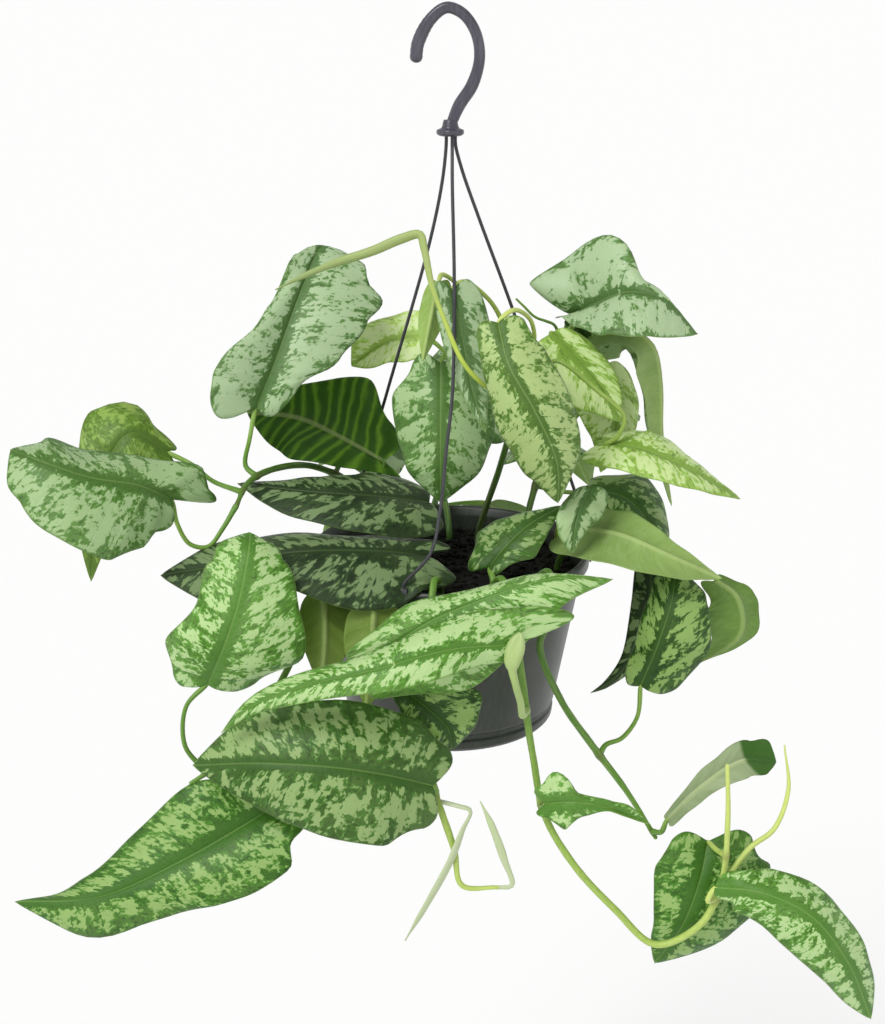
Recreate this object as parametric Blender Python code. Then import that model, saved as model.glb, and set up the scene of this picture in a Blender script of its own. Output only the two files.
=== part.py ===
"""Satin pothos trailing out of a hanging nursery pot.

Every table below is in millimetres from the centre of the pot's rim: X to the right,
Y away from the viewer, Z up. The finished part hangs from the crown of its hook,
which is the origin, so place() lowers everything by HANG_HEIGHT.
"""

import bpy
import bmesh
from math import cos, pi, sin, tau
from mathutils import Vector, noise

# Driving dimensions, in millimetres
MM = 0.001
HANG_HEIGHT = 277
RIM_RADIUS = 75
BASE_RADIUS = 56
POT_HEIGHT = 96
POT_WALL = 2.0
LIP_HEIGHT = 8
SOIL_DEPTH = 12
ROUND_STEPS = 40
GAP = 0.3
BLADE_THICKNESS = 0.8
STEM_RADIUS = 1.8
PETIOLE_RADIUS = 1.3
ROOT_DEPTH = 9
STRAND_RADIUS = 0.9
HOOK_RADIUS = 2.8
COLLAR_TOP = 222
COLLAR_HEIGHT = 4
COLLAR_RADIUS = 7

# Half a blade: each vein's start along the midrib, then where it meets the margin,
# along the midrib and across it, as shares of the blade's length and half width
VEINS = (
    (0.00, -0.07, 0.34),
    (0.02, -0.08, 0.74),
    (0.07, 0.07, 0.97),
    (0.20, 0.27, 1.00),
    (0.38, 0.48, 0.84),
    (0.58, 0.69, 0.56),
    (0.78, 0.86, 0.27),
    (0.92, 0.96, 0.09),
)
ACROSS = (0.0, 0.5, 1.0)
RIB_STEPS = 24

# Stems: the route of each, from its hole in the soil outwards
VINES = {
    "vine_front": {
        "route": [(22, -48, -8), (23, -60, 1), (26, -73, 7), (29, -81, 2), (32, -85, -14), (36, -88, -40),
                  (39, -90, -64), (42, -92, -82), (48, -98, -111), (63, -106, -135), (84, -110, -158),
                  (105, -112, -177), (127, -114, -164), (137, -112, -140), (139, -108, -108),
                  (138, -104, -80)],
        "shoots": [{"route": [(136, -112, -145), (143, -108, -136), (152, -105, -125), (164, -101, -117),
                              (171, -96, -98), (168, -94, -74)], "radii": (1.5, 1.5, 1.3, 0.5)}],
    },
    "vine_right": {
        "route": [(44, -36, -8), (46, -50, 1), (50, -62, 7), (52, -70, 2), (50, -76, -12), (45, -79, -26),
                  (56, -80, -55), (73, -74, -83), (92, -70, -111), (109, -68, -140)],
        "shoots": [],
    },
    "vine_left": {
        "route": [(-30, 26, -8), (-36, 30, 8), (-52, 33, 24), (-74, 30, 36), (-92, 8, 42), (-106, -22, 42),
                  (-110, -38, 35)],
        "shoots": [],
    },
    "vine_low_left": {
        "route": [(-38, -34, -8), (-46, -44, 2), (-54, -52, 5), (-63, -53, 0), (-70, -52, -14),
                  (-76, -52, -30), (-88, -62, -54), (-106, -78, -78), (-124, -88, -92), (-132, -90, -97)],
        "shoots": [],
    },
    "vine_low_middle": {
        "route": [(-5, -50, -8), (-6, -62, 2), (-8, -72, 6), (-9, -79.5, 1), (-10, -82, -14), (-11, -83, -40),
                  (-11, -88, -66), (-8, -103, -94), (-4, -108, -105), (2, -110, -124), (6, -112, -143),
                  (24, -112, -144)],
        "shoots": [
            {"route": [(-7, -105, -99), (4, -109, -100), (10, -110, -102), (6, -112, -112), (0, -114, -128),
                       (-11, -112, -152), (-23, -108, -177)], "radii": (1.2, 1.2, 2.2, 2.3, 1.9, 0.5)},
            {"route": [(23, -112, -144), (31, -112, -143), (27, -112, -128), (21, -112, -110),
                       (15, -110, -97)], "radii": (1.2, 1.4, 2.1, 1.8, 0.4)},
        ],
    },
    "vine_centre": {
        "route": [(16, 40, -8), (20, 38, 8), (28, 33, 35), (34, 22, 65), (35, 14, 92), (30, 6, 118)],
        "shoots": [{"route": [(35, 13, 93), (33, -14, 90), (27, -37, 94), (16, -51, 102), (6, -54, 114),
                              (-3, -50, 134), (-9, -46, 150), (-13, -41, 168), (-15, -39, 174),
                              (-24, -39, 172), (-38, -38, 166), (-55, -34, 160), (-73, -28, 152),
                              (-88, -22, 144)],
                    "radii": (1.4, 1.4, 1.4, 1.3, 1.3, 1.3, 1.9, 2.7, 2.5, 1.7, 0.4)}],
    },
    "vine_back_right": {
        "route": [(40, 22, -8), (44, 26, 12), (54, 33, 48), (60, 34, 80), (60, 28, 108)],
        "shoots": [{"route": [(60, 28, 107), (56, 23, 117), (51, 19, 120), (45, 15, 123), (39, 13, 129),
                              (35, 12, 133)], "radii": (0.9, 0.8, 0.7, 0.6)}],
    },
    "vine_low_right": {
        "route": [(58, -10, -8), (63, -13, 4), (72, -17, 7), (82, -20, 4), (100, -21, -1), (120, -19, -6),
                  (134, -17, -9)],
        "shoots": [],
    },
    "vine_back": {
        "route": [(0, 46, -8), (-2, 60, 4), (-5, 74, 8), (-8, 82, 1), (-9, 86, -14), (-6, 92, -42),
                  (0, 98, -66)],
        "shoots": [],
    },
}

# Leaves: the midrib from the blade's base to its tip, and for shares of its length the points where
# the left and the right margin stand, seen from the tip's tail with the upper face up.
# The petiole runs from its stem through the listed points.
LEAVES = {
    "silver_left": {
        "vine": "vine_left", "petiole": [(-108, -10, 48), (-105, -12, 64)],
        "rib": [(-102, -5, 78), (-93, 0, 99), (-86, 8, 118), (-78, 22, 139), (-69, 40, 157), (-62, 62, 145)],
        "spans": [(0, (-126, -14, 89), (-79, -2, 88)), (0.25, (-119, -12, 105), (-58, 4, 103)),
                  (0.5, (-99, 2, 124), (-40, 14, 124)), (0.75, (-88, 20, 146), (-36, 30, 131)),
                  (0.9, (-79, 36, 154), (-48, 45, 147))]},
    "inner_left": {
        "vine": "vine_left", "petiole": [(-42, 31, 28)],
        "rib": [(-36, 30, 39), (-58, 30, 52), (-82, 26, 65), (-109, 12, 72)],
        "spans": [(0, (-32, 26, 64), (-31, 26, 31)), (0.3, (-44, 20, 88), (-65, 20, 40)),
                  (0.65, (-72, 18, 87), (-91, 18, 47)), (0.88, (-94, 14, 80), (-103, 12, 61))]},
    "lime_left": {
        "vine": "vine_centre", "petiole": [(12, 46, 76), (-4, 50, 98)],
        "rib": [(-14, 50, 106), (-33, 50, 103), (-54, 40, 91)],
        "spans": [(0.35, (-30, 36, 94), (-32, 66, 114)), (0.75, (-46, 38, 90), (-54, 46, 103))]},
    "folded_top": {
        "vine": "vine_centre", "petiole": [(20, 14, 114), (8, 2, 138), (-4, -12, 150)],
        "rib": [(-6, -18, 147), (-10, -24, 129), (-14, -26, 108)],
        "spans": [(0.35, (-16, -18, 129), (-2, -16, 129))]},
    "upright_top": {
        "vine": "vine_centre", "petiole": [(20, -6, 136), (6, -22, 148)],
        "rib": [(1, -26, 145), (6, -33, 122), (11, -40, 96), (18, -44, 75)],
        "spans": [(0.4, (21, -31, 114), (-2, -34, 114))]},
    "round_centre": {
        "vine": "vine_centre", "petiole": [(16, 6, 102), (2, -4, 111)],
        "rib": [(-5, -12, 104), (-5, -24, 82), (-5, -28, 56), (-5, -20, 31)],
        "spans": [(0, (10, -8, 94), (-21, -8, 101)), (0.25, (22, -8, 83), (-30, -10, 85)),
                  (0.55, (21, -12, 60), (-25, -16, 58)), (0.85, (8, -16, 39), (-16, -20, 41))]},
    "long_centre": {
        "vine": "vine_centre", "petiole": [(42, -8, 113), (40, -34, 131), (30, -52, 139)],
        "rib": [(23, -58, 134), (28, -72, 116), (40, -78, 96), (52, -72, 68), (54, -60, 43)],
        "spans": [(0, (31, -56, 138), (16, -58, 133)), (0.25, (46, -60, 121), (17, -60, 109)),
                  (0.55, (60, -64, 93), (26, -62, 77)), (0.8, (63, -64, 67), (40, -60, 56))]},
    "behind_right": {
        "vine": "vine_back_right", "petiole": [(56, 19, 88), (53, 3, 113)],
        "rib": [(53, -6, 119), (67, -10, 104), (79, -12, 90), (89, -14, 73)],
        "spans": [(0.35, (84, -8, 101), (57, -17, 86))]},
    "round_right": {
        "vine": "vine_back_right", "petiole": [(73, 38, 80)],
        "rib": [(84, 32, 92), (89, 24, 75), (89, 16, 56), (82, 12, 38)],
        "spans": [(0.35, (103, 28, 68), (69, 14, 72))]},
    "silver_right": {
        "vine": "vine_back_right", "petiole": [(66, 26, 116)],
        "rib": [(65, 22, 123), (77, 6, 132), (91, -6, 140), (108, -14, 138), (127, -16, 120)],
        "spans": [(0, (41, 26, 139), (57, 8, 128)), (0.2, (67, 30, 158), (72, -10, 125)),
                  (0.45, (87, 14, 167), (86, -30, 126)), (0.7, (104, -4, 150), (103, -34, 124)),
                  (0.9, (120, -14, 135), (118, -24, 120))]},
    "dark_under": {
        "vine": "vine_back_right", "petiole": [(62, 41, 101)],
        "rib": [(65, 38, 117), (73, 36, 108), (76, 32, 94)],
        "spans": [(0, (72, 41, 121), (63, 34, 113)), (0.4, (84, 32, 112), (67, 30, 103))]},
    "folded_right": {
        "vine": "vine_back_right", "petiole": [(70, 23, 101)],
        "rib": [(79, 14, 114), (95, 6, 117), (106, 4, 110), (112, 8, 88), (114, 12, 62), (118, 16, 38),
                (122, 18, 17)],
        "spans": [(0.2, (89, -10, 113), (90, 18, 104)), (0.45, (98, -8, 97), (101, 14, 90)),
                  (0.7, (105, 0, 68), (107, 14, 62))]},
    "pointed_right": {
        "vine": "vine_centre",
        "petiole": [(44, -16, 97), (54, -34, 110), (74, -34, 95), (89, -30, 80), (86, -26, 68)],
        "rib": [(80, -20, 63), (97, -32, 64), (122, -36, 54), (151, -30, 36)],
        "spans": [(0.3, (106, -6, 66), (93, -48, 55))]},
    "shade_right": {
        "vine": "vine_back_right", "petiole": [(60, 30, 22)],
        "rib": [(80, 26, 23), (96, 19, 22), (111, 14, 6), (118, 8, -18)],
        "spans": [(0, (86, 42, 28), (79, 12, 17)), (0.35, (113, 40, 24), (86, 2, 8))]},
    "twisted_right": {
        "vine": "vine_low_right", "petiole": [(75, -23, 13)],
        "rib": [(68, -24, 18), (89, -42, 20), (112, -50, 12), (141, -44, -3)],
        "spans": [(0.35, (78, -60, 12), (96, -28, 27))]},
    "bright_soil": {
        "vine": "vine_low_right", "petiole": [(57, -20, 6), (60, -32, 34)],
        "rib": [(72, -40, 46), (64, -52, 32), (62, -56, 15)],
        "spans": [(0.35, (76, -46, 30), (54, -54, 33))]},
    "round_low_right": {
        "vine": "vine_low_right", "petiole": [(139, -17, -10)],
        "rib": [(143, -18, -14), (153, -26, -20), (156, -26, -41), (134, -16, -63)],
        "spans": [(0, (136, -24, -18), (154, -12, -15)), (0.35, (133, -32, -29), (166, -16, -28)),
                  (0.7, (138, -22, -51), (160, -18, -50))]},
    "hanging_right": {
        "vine": "vine_right", "petiole": [(81, -68, -86), (90, -62, -85), (99, -52, -77)],
        "rib": [(101, -44, -63), (108, -52, -37), (115, -48, -13), (118, -36, 2)],
        "spans": [(0, (93, -38, -56), (123, -42, -64)), (0.25, (97, -36, -46), (136, -44, -43)),
                  (0.6, (104, -37, -18), (134, -44, -18)), (0.85, (110, -34, -4), (128, -38, -7))]},
    "tail_right": {
        "vine": "vine_low_right", "petiole": [(109, -14, 1)],
        "rib": [(110, -8, -5), (106, -17, -31), (97, -20, -60), (85, -19, -74), (77, -18, -79)],
        "spans": [(0.35, (116, -12, -31), (99, -9, -28))]},
    "shade_upper": {
        "vine": "vine_left", "petiole": [(-18, 8, 18)],
        "rib": [(-11, -10, 28), (-37, -22, 35), (-73, -24, 38), (-113, -8, 38)],
        "spans": [(0.35, (-51, -46, 24), (-54, 6, 39))]},
    "shade_lower": {
        "vine": "vine_low_middle", "petiole": [(-7, -52, 3)],
        "rib": [(-13, -44, 10), (-40, -60, 18), (-80, -66, 19), (-114, -62, 11), (-149, -50, 1)],
        "spans": [(0, (-19, -55, 9), (-10, -32, 12)), (0.12, (-36, -73, 8), (-28, -28, 12)),
                  (0.28, (-49, -83, -2), (-49, -28, 13)), (0.6, (-98, -78, 6), (-98, -46, 20)),
                  (0.85, (-129, -66, -5), (-130, -48, 13))]},
    "heart_left": {
        "vine": "vine_left",
        "petiole": [(-117, -44, 24), (-124, -48, 16), (-133, -50, 18), (-139, -50, 29)],
        "rib": [(-141, -50, 42), (-155, -62, 53), (-177, -72, 60), (-198, -74, 68), (-217, -64, 72)],
        "spans": [(0, (-147, -58, 32), (-121, -34, 40)), (0.25, (-167, -84, 23), (-152, -42, 61)),
                  (0.55, (-189, -90, 34), (-185, -46, 67)), (0.8, (-209, -82, 50), (-204, -52, 73)),
                  (0.92, (-217, -74, 61), (-213, -58, 72))]},
    "olive_left": {
        "vine": "vine_left", "petiole": [(-123, -28, 45), (-134, -22, 52)],
        "rib": [(-148, -14, 57), (-166, -20, 69), (-180, -26, 50), (-186, -30, 19), (-189, -32, -9)],
        "spans": [(0, (-149, -20, 41), (-154, -8, 68)), (0.2, (-161, -28, 40), (-171, -4, 81)),
                  (0.4, (-165, -34, 31), (-191, -10, 74)), (0.6, (-171, -34, 20), (-193, -20, 59)),
                  (0.85, (-182, -32, 6), (-193, -30, 7))]},
    "vivid_left": {
        "vine": "vine_low_left", "petiole": [(-134, -90, -76), (-133, -86, -56)],
        "rib": [(-122, -84, -45), (-110, -98, -16), (-102, -100, 8), (-98, -92, 29), (-99, -76, 33)],
        "spans": [(0, (-141, -80, -39), (-95, -82, -43)), (0.2, (-141, -88, -20), (-74, -90, -28)),
                  (0.5, (-125, -90, 0), (-75, -92, 3)), (0.8, (-117, -84, 21), (-82, -84, 21)),
                  (0.93, (-110, -78, 30), (-90, -76, 28))]},
    "front_right": {
        "vine": "vine_low_middle", "petiole": [(-22, -90, -30)],
        "rib": [(-32, -96, -21), (-10, -104, -3), (21, -108, 12), (49, -104, 19), (79, -94, 15)],
        "spans": [(0, (-50, -92, -22), (-33, -103, -46)), (0.25, (-24, -88, -2), (9, -112, -35)),
                  (0.55, (9, -96, 10), (40, -113, -6)), (0.8, (48, -94, 18), (62, -103, 10))]},
    "front_long": {
        "vine": "vine_front", "petiole": [(34, -98, -54), (31, -109, -34), (31, -120, -17)],
        "rib": [(30, -124, -7), (0, -135, -5), (-35, -140, -13), (-71, -136, -24), (-96, -130, -37),
                (-111, -122, -54)],
        "spans": [(0, (25, -124, -17), (29, -119, 0)), (0.3, (-10, -143, -16), (-2, -122, 4)),
                  (0.6, (-52, -142, -26), (-52, -129, -14)), (0.85, (-89, -132, -38), (-95, -126, -33))]},
    "broad_low": {
        "vine": "vine_low_middle", "petiole": [(-7, -110, -91)],
        "rib": [(-9, -114, -86), (-32, -126, -74), (-58, -132, -67), (-91, -128, -67), (-127, -112, -76)],
        "spans": [(0, (-16, -122, -105), (-2, -104, -72)), (0.25, (-35, -134, -107), (-19, -108, -52)),
                  (0.5, (-66, -134, -101), (-59, -110, -42)), (0.75, (-95, -126, -91), (-98, -110, -50)),
                  (0.9, (-112, -118, -85), (-115, -110, -63))]},
    "pointed_low": {
        "vine": "vine_low_left", "petiole": [(-98, -86, -90), (-88, -92, -100)],
        "rib": [(-89, -98, -106), (-108, -106, -115), (-135, -114, -128), (-176, -116, -147),
                (-223, -104, -157)],
        "spans": [(0, (-76, -112, -116), (-106, -92, -90)), (0.2, (-82, -118, -131), (-131, -98, -94)),
                  (0.45, (-113, -122, -147), (-160, -100, -120)), (0.7, (-151, -120, -159), (-186, -104, -143)),
                  (0.88, (-195, -112, -169), (-207, -104, -154))]},
    "green_low": {
        "vine": "vine_low_middle", "petiole": [(-17, -88, -40)],
        "rib": [(-23, -92, -45), (-10, -96, -54), (-1, -96, -64), (1, -92, -77)],
        "spans": [(0, (-10, -90, -40), (-27, -96, -51)), (0.4, (15, -90, -48), (-22, -97, -67)),
                  (0.75, (12, -90, -66), (-10, -95, -73))]},
    "olive_front": {
        "vine": "vine_low_left", "petiole": [(-65, -60, 3)],
        "rib": [(-64, -64, -4), (-63, -78, -23), (-65, -82, -49)],
        "spans": [(0.3, (-76, -72, -23), (-49, -70, -24))]},
    "olive_middle": {
        "vine": "vine_low_left", "petiole": [(-52, -60, 6), (-46, -70, 1), (-41, -78, -3)],
        "rib": [(-38, -80, -7), (-39, -87, -28), (-42, -90, -56)],
        "spans": [(0.3, (-53, -82, -25), (-24, -83, -24))]},
    "small_front": {
        "vine": "vine_front", "petiole": [(47, -103, -104)],
        "rib": [(48, -108, -99), (60, -114, -95), (75, -113, -98), (101, -106, -112)],
        "spans": [(0, (45, -106, -89), (47, -108, -107)), (0.16, (52, -110, -81), (57, -114, -110)),
                  (0.35, (64, -111, -92), (66, -114, -103)), (0.6, (80, -111, -96), (80, -113, -101)),
                  (0.85, (93, -108, -103), (93, -109, -108))]},
    "pale_low_right": {
        "vine": "vine_right", "petiole": [(111, -73, -134)],
        "rib": [(114, -76, -125), (130, -84, -101), (149, -86, -86), (167, -82, -89)],
        "spans": [(0, (116, -80, -127), (112, -74, -123)), (0.45, (139, -94, -95), (136, -72, -89)),
                  (0.75, (153, -90, -92), (156, -70, -81)), (0.9, (163, -84, -93), (165, -74, -83))]},
    "heart_low_right": {
        "vine": "vine_front", "petiole": [(135, -102, -128)],
        "rib": [(132, -94, -128), (127, -106, -143), (119, -108, -168), (107, -98, -197)],
        "spans": [(0, (153, -90, -123), (117, -99, -120)), (0.3, (165, -92, -144), (105, -100, -139)),
                  (0.65, (151, -100, -173), (105, -102, -169)), (0.88, (125, -98, -192), (105, -98, -188))]},
    "arched_tip": {
        "vine": "vine_front", "petiole": [(129, -120, -147)],
        "rib": [(132, -122, -138), (152, -132, -135), (176, -136, -145), (197, -132, -172), (218, -114, -220)],
        "spans": [(0, (139, -119, -131), (133, -122, -148)), (0.25, (162, -119, -130), (143, -128, -149)),
                  (0.5, (193, -118, -149), (166, -130, -166)), (0.75, (212, -118, -179), (189, -124, -190)),
                  (0.9, (219, -112, -205), (206, -116, -211))]},
    "soil_leaf": {
        "vine": "vine_front", "petiole": [(22, -52, 0)],
        "rib": [(20, -46, 4), (28, -44, 14), (41, -36, 24), (59, -22, 30)],
        "spans": [(0, (9, -40, 5), (29, -51, 5)), (0.35, (17, -24, 17), (44, -48, 12))]},
    "back_low": {
        "vine": "vine_back", "petiole": [(-6, 102, -48)],
        "rib": [(0, 106, -48), (2, 120, -54), (0, 126, -70), (-4, 120, -94)],
        "spans": [(0.35, (26, 112, -60), (-26, 112, -60))]},
    "back_drop": {
        "vine": "vine_back", "petiole": [(-16, 90, -16)],
        "rib": [(-28, 94, -8), (-46, 106, -22), (-56, 110, -48), (-58, 104, -78)],
        "spans": [(0.35, (-22, 110, -34), (-76, 98, -26))]},
    "back_spread": {
        "vine": "vine_back", "petiole": [(-14, 80, 16)],
        "rib": [(-24, 84, 24), (-42, 108, 34), (-62, 132, 26), (-82, 148, 2)],
        "spans": [(0.35, (-66, 90, 30), (-24, 130, 30))]},
    "back_reach": {
        "vine": "vine_back_right", "petiole": [(49, 52, 42)],
        "rib": [(46, 78, 28), (60, 98, 32), (74, 114, 22), (88, 122, -4)],
        "spans": [(0.35, (44, 112, 26), (84, 88, 26))]},
    "back_upright": {
        "vine": "vine_back", "petiole": [(4, 66, 28)],
        "rib": [(8, 66, 46), (8, 76, 70), (12, 92, 90), (18, 108, 98)],
        "spans": [(0.35, (-22, 80, 66), (38, 76, 66))]},
    "back_hidden": {
        "vine": "vine_left", "petiole": [(-60, 44, 40)],
        "rib": [(-66, 56, 54), (-76, 80, 64), (-88, 100, 62), (-104, 114, 44)],
        "spans": [(0.35, (-104, 70, 56), (-56, 100, 56))]},
    "back_right": {
        "vine": "vine_back_right", "petiole": [(64, 44, 56)],
        "rib": [(72, 54, 60), (86, 76, 66), (98, 94, 56), (106, 104, 32)],
        "spans": [(0.35, (66, 92, 56), (108, 62, 56))]},
    "back_under": {
        "vine": "vine_back", "petiole": [(10, 92, -4)],
        "rib": [(24, 94, -4), (38, 106, -20), (44, 110, -46), (42, 102, -76)],
        "spans": [(0.35, (60, 96, -28), (16, 112, -30))]},
}

# The three strands: where each leaves the collar, its bends and the side of the rim it clips to
STRANDS = {
    "strand_front": {"start": (1, -2.4), "bends": [(1, -10, 197), (2, -27, 147), (1, -45, 95), (-2, -54, 69),
                                                   (-5, -63, 41), (-10, -71, 20)], "rim_angle": -18},
    "strand_left": {"start": (-2, 1.6), "bends": [(-4, 5, 195), (-11, 13, 161), (-34, 32, 79)],
                    "rim_angle": -134},
    "strand_right": {"start": (2.6, 1), "bends": [(6, 2, 201), (15, 3, 176), (32, 5, 131), (52, 7, 74)],
                     "rim_angle": 97},
}
HOOK_ROUTE = [(-17, 0, 256), (-16, 0, 263), (-10, 0, 274), (-2, 0, 279.8), (6, 0, 277), (12.5, 0, 268),
              (14.5, 0, 256), (11, 0, 243), (4.5, 0, 233), (0.5, 0, 224)]
HOOK_RADII = (3.2, 3.3, 3.0, 2.9, 2.8, 2.8, 2.9, 3.2, 3.2, 2.8)


def place(point):
    """A table point in the part's own frame, in metres."""
    x, y, z = point
    return Vector((x, y, z - HANG_HEIGHT)) * MM


def clear_scene():
    for item in list(bpy.data.objects):
        bpy.data.objects.remove(item, do_unlink=True)


def make_material(name, colour, roughness, metallic=0.0):
    material = bpy.data.materials.new(name)
    material.use_nodes = True
    shader = material.node_tree.nodes["Principled BSDF"]
    shader.inputs["Base Color"].default_value = (*colour, 1.0)
    shader.inputs["Roughness"].default_value = roughness
    shader.inputs["Metallic"].default_value = metallic
    material.diffuse_color = (*colour, 1.0)
    return material


def add_object(name, mesh):
    item = bpy.data.objects.new(name, mesh)
    bpy.context.scene.collection.objects.link(item)
    return item


def evaluated_mesh(item, name):
    """The object's mesh with its modifiers applied, as new data."""
    graph = bpy.context.evaluated_depsgraph_get()
    graph.update()
    return bpy.data.meshes.new_from_object(item.evaluated_get(graph))


def curve_points(points, count):
    """A smooth curve through the points, cut into count even steps."""
    points = [Vector(p) for p in points]
    ends = [points[0] * 2 - points[1]] + points + [points[-1] * 2 - points[-2]]
    dense = []
    for a, b, c, d in zip(ends, ends[1:], ends[2:], ends[3:]):
        t1 = max((b - a).length, 1e-6) ** 0.5
        t2 = t1 + max((c - b).length, 1e-6) ** 0.5
        t3 = t2 + max((d - c).length, 1e-6) ** 0.5
        for step in range(12):
            t = t1 + (t2 - t1) * step / 12
            ab = a.lerp(b, t / t1)
            bc = b.lerp(c, (t - t1) / (t2 - t1))
            cd = c.lerp(d, (t - t2) / (t3 - t2))
            abc = ab.lerp(bc, t / t2)
            bcd = bc.lerp(cd, (t - t1) / (t3 - t1))
            dense.append(abc.lerp(bcd, (t - t1) / (t2 - t1)))
    dense.append(points[-1])
    lengths = [0.0]
    for a, b in zip(dense, dense[1:]):
        lengths.append(lengths[-1] + (b - a).length)
    even, at = [], 0
    for step in range(count + 1):
        want = lengths[-1] * step / count
        while at < len(dense) - 2 and lengths[at + 1] < want:
            at += 1
        span = max(lengths[at + 1] - lengths[at], 1e-9)
        even.append(dense[at].lerp(dense[at + 1], min(1.0, (want - lengths[at]) / span)))
    return even


def run_length(points):
    return sum((Vector(b) - Vector(a)).length for a, b in zip(points, points[1:]))


def mixed(values, share):
    """A value read between evenly spread ones, at a share of the way along."""
    at = share * (len(values) - 1)
    low = min(int(at), len(values) - 2)
    return values[low] + (values[low + 1] - values[low]) * (at - low)


def tube_mesh(name, points, radii, sides_level):
    """A closed tube along points already spaced, with 4 + 2 * sides_level sides."""
    curve = bpy.data.curves.new(name, "CURVE")
    curve.dimensions = "3D"
    curve.bevel_depth = MM
    curve.bevel_resolution = sides_level
    curve.use_fill_caps = True
    curve.resolution_u = 1
    curve.render_resolution_u = 0
    spline = curve.splines.new("POLY")
    spline.points.add(len(points) - 1)
    for at, point in enumerate(points):
        spline.points[at].co = (*place(point), 1.0)
        spline.points[at].radius = mixed(radii, at / (len(points) - 1))
    item = add_object(name + "_curve", curve)
    mesh = evaluated_mesh(item, name)
    bpy.data.objects.remove(item, do_unlink=True)
    tidy = bmesh.new()
    tidy.from_mesh(mesh)
    bmesh.ops.remove_doubles(tidy, verts=tidy.verts, dist=1e-6)
    bmesh.ops.recalc_face_normals(tidy, faces=tidy.faces)
    tidy.to_mesh(mesh)
    tidy.free()
    return mesh


def joined(name, item, extras):
    """One body made of an object and what grows out of it."""
    group = bpy.data.collections.new(name + "_parts")
    bpy.context.scene.collection.children.link(group)
    for mesh in extras:
        extra = bpy.data.objects.new(name + "_extra", mesh)
        group.objects.link(extra)
    union = item.modifiers.new("join", "BOOLEAN")
    union.operation = "UNION"
    union.operand_type = "COLLECTION"
    union.collection = group
    union.solver = "EXACT"
    whole = evaluated_mesh(item, name)
    item.modifiers.clear()
    item.data = whole
    for extra in list(group.objects):
        bpy.data.objects.remove(extra, do_unlink=True)
    bpy.data.collections.remove(group)
    return item


def smooth_round(item, degrees=40):
    item.data.shade_smooth()
    item.data.set_sharp_from_angle(angle=degrees * pi / 180)


class Blade:
    """The curved sheet of one leaf, read by its share along and across."""

    def __init__(self, leaf):
        self.rib = curve_points(leaf["rib"], RIB_STEPS)
        self.length = run_length(self.rib)
        self.bow = leaf.get("bow", 0.10)
        self.wave = leaf.get("wave", 0.05)
        self.tangents = []
        for at in range(RIB_STEPS + 1):
            ahead = self.rib[min(at + 1, RIB_STEPS)]
            behind = self.rib[max(at - 1, 0)]
            self.tangents.append((ahead - behind).normalized())
        first = Vector(leaf["spans"][0][2]) - Vector(leaf["spans"][0][1])
        normal = first.cross(self.tangents[0]).normalized()
        self.normals = []
        for tangent in self.tangents:
            normal = (normal - tangent * normal.dot(tangent)).normalized()
            self.normals.append(normal)
        self.spans = []
        for share, left, right in leaf["spans"]:
            middle, axes = self.spine(share)
            width = half_width(share)
            sides = []
            for point in (left, right):
                reach = (Vector(point) - middle) / width
                sides.append(Vector([reach.dot(axis) for axis in axes]))
            self.spans.append((share, sides))

    def spine(self, share):
        """The midrib's point and its axes: along, towards the upper face, to the right."""
        at = min(max(share, 0.0), 1.0) * RIB_STEPS
        low = min(int(at), RIB_STEPS - 1)
        along = self.tangents[low].lerp(self.tangents[low + 1], at - low).normalized()
        up = self.normals[low].lerp(self.normals[low + 1], at - low).normalized()
        point = self.rib[low].lerp(self.rib[low + 1], at - low)
        if share < 0:
            point = point + along * share * self.length
        return point, (along, up, along.cross(up))

    def side(self, share, hand):
        """The reach of one half at its widest, turned to the frame at this share."""
        _, axes = self.spine(share)
        reach = self.spans[0][1][hand]
        for (low, before), (high, after) in zip(self.spans, self.spans[1:]):
            if share > low:
                reach = before[hand].lerp(after[hand], min(1.0, (share - low) / (high - low)))
        return axes[0] * reach.x + axes[1] * reach.y + axes[2] * reach.z

    def upward(self, share):
        """The upper face's direction over the midrib."""
        _, axes = self.spine(share)
        spread = (self.side(share, 1) - self.side(share, 0)).normalized()
        return spread.cross(axes[0]).normalized()

    def point(self, share, part, width, hand):
        """A point part of the way from the midrib to the margin, where the margin stands at width."""
        middle, _ = self.spine(share)
        reach = self.side(share, hand) * width
        lift = self.bow * 4 * (part - part * part)
        ripple = self.wave * part * part * sin(tau * 1.6 * share + (1.0 if hand else 3.4))
        return middle + reach * part + self.upward(share) * (lift + ripple) * reach.length


def half_width(share):
    """The margin's share of the half width at a share of the length, for the lower lobes and up."""
    edge = [(u, v) for _, u, v in VEINS[2:]] + [(1.0, 0.0)]
    for (u1, v1), (u2, v2) in zip(edge, edge[1:]):
        if share <= u2:
            return v1 + (v2 - v1) * max(0.0, share - u1) / (u2 - u1)
    return 0.0


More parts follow.
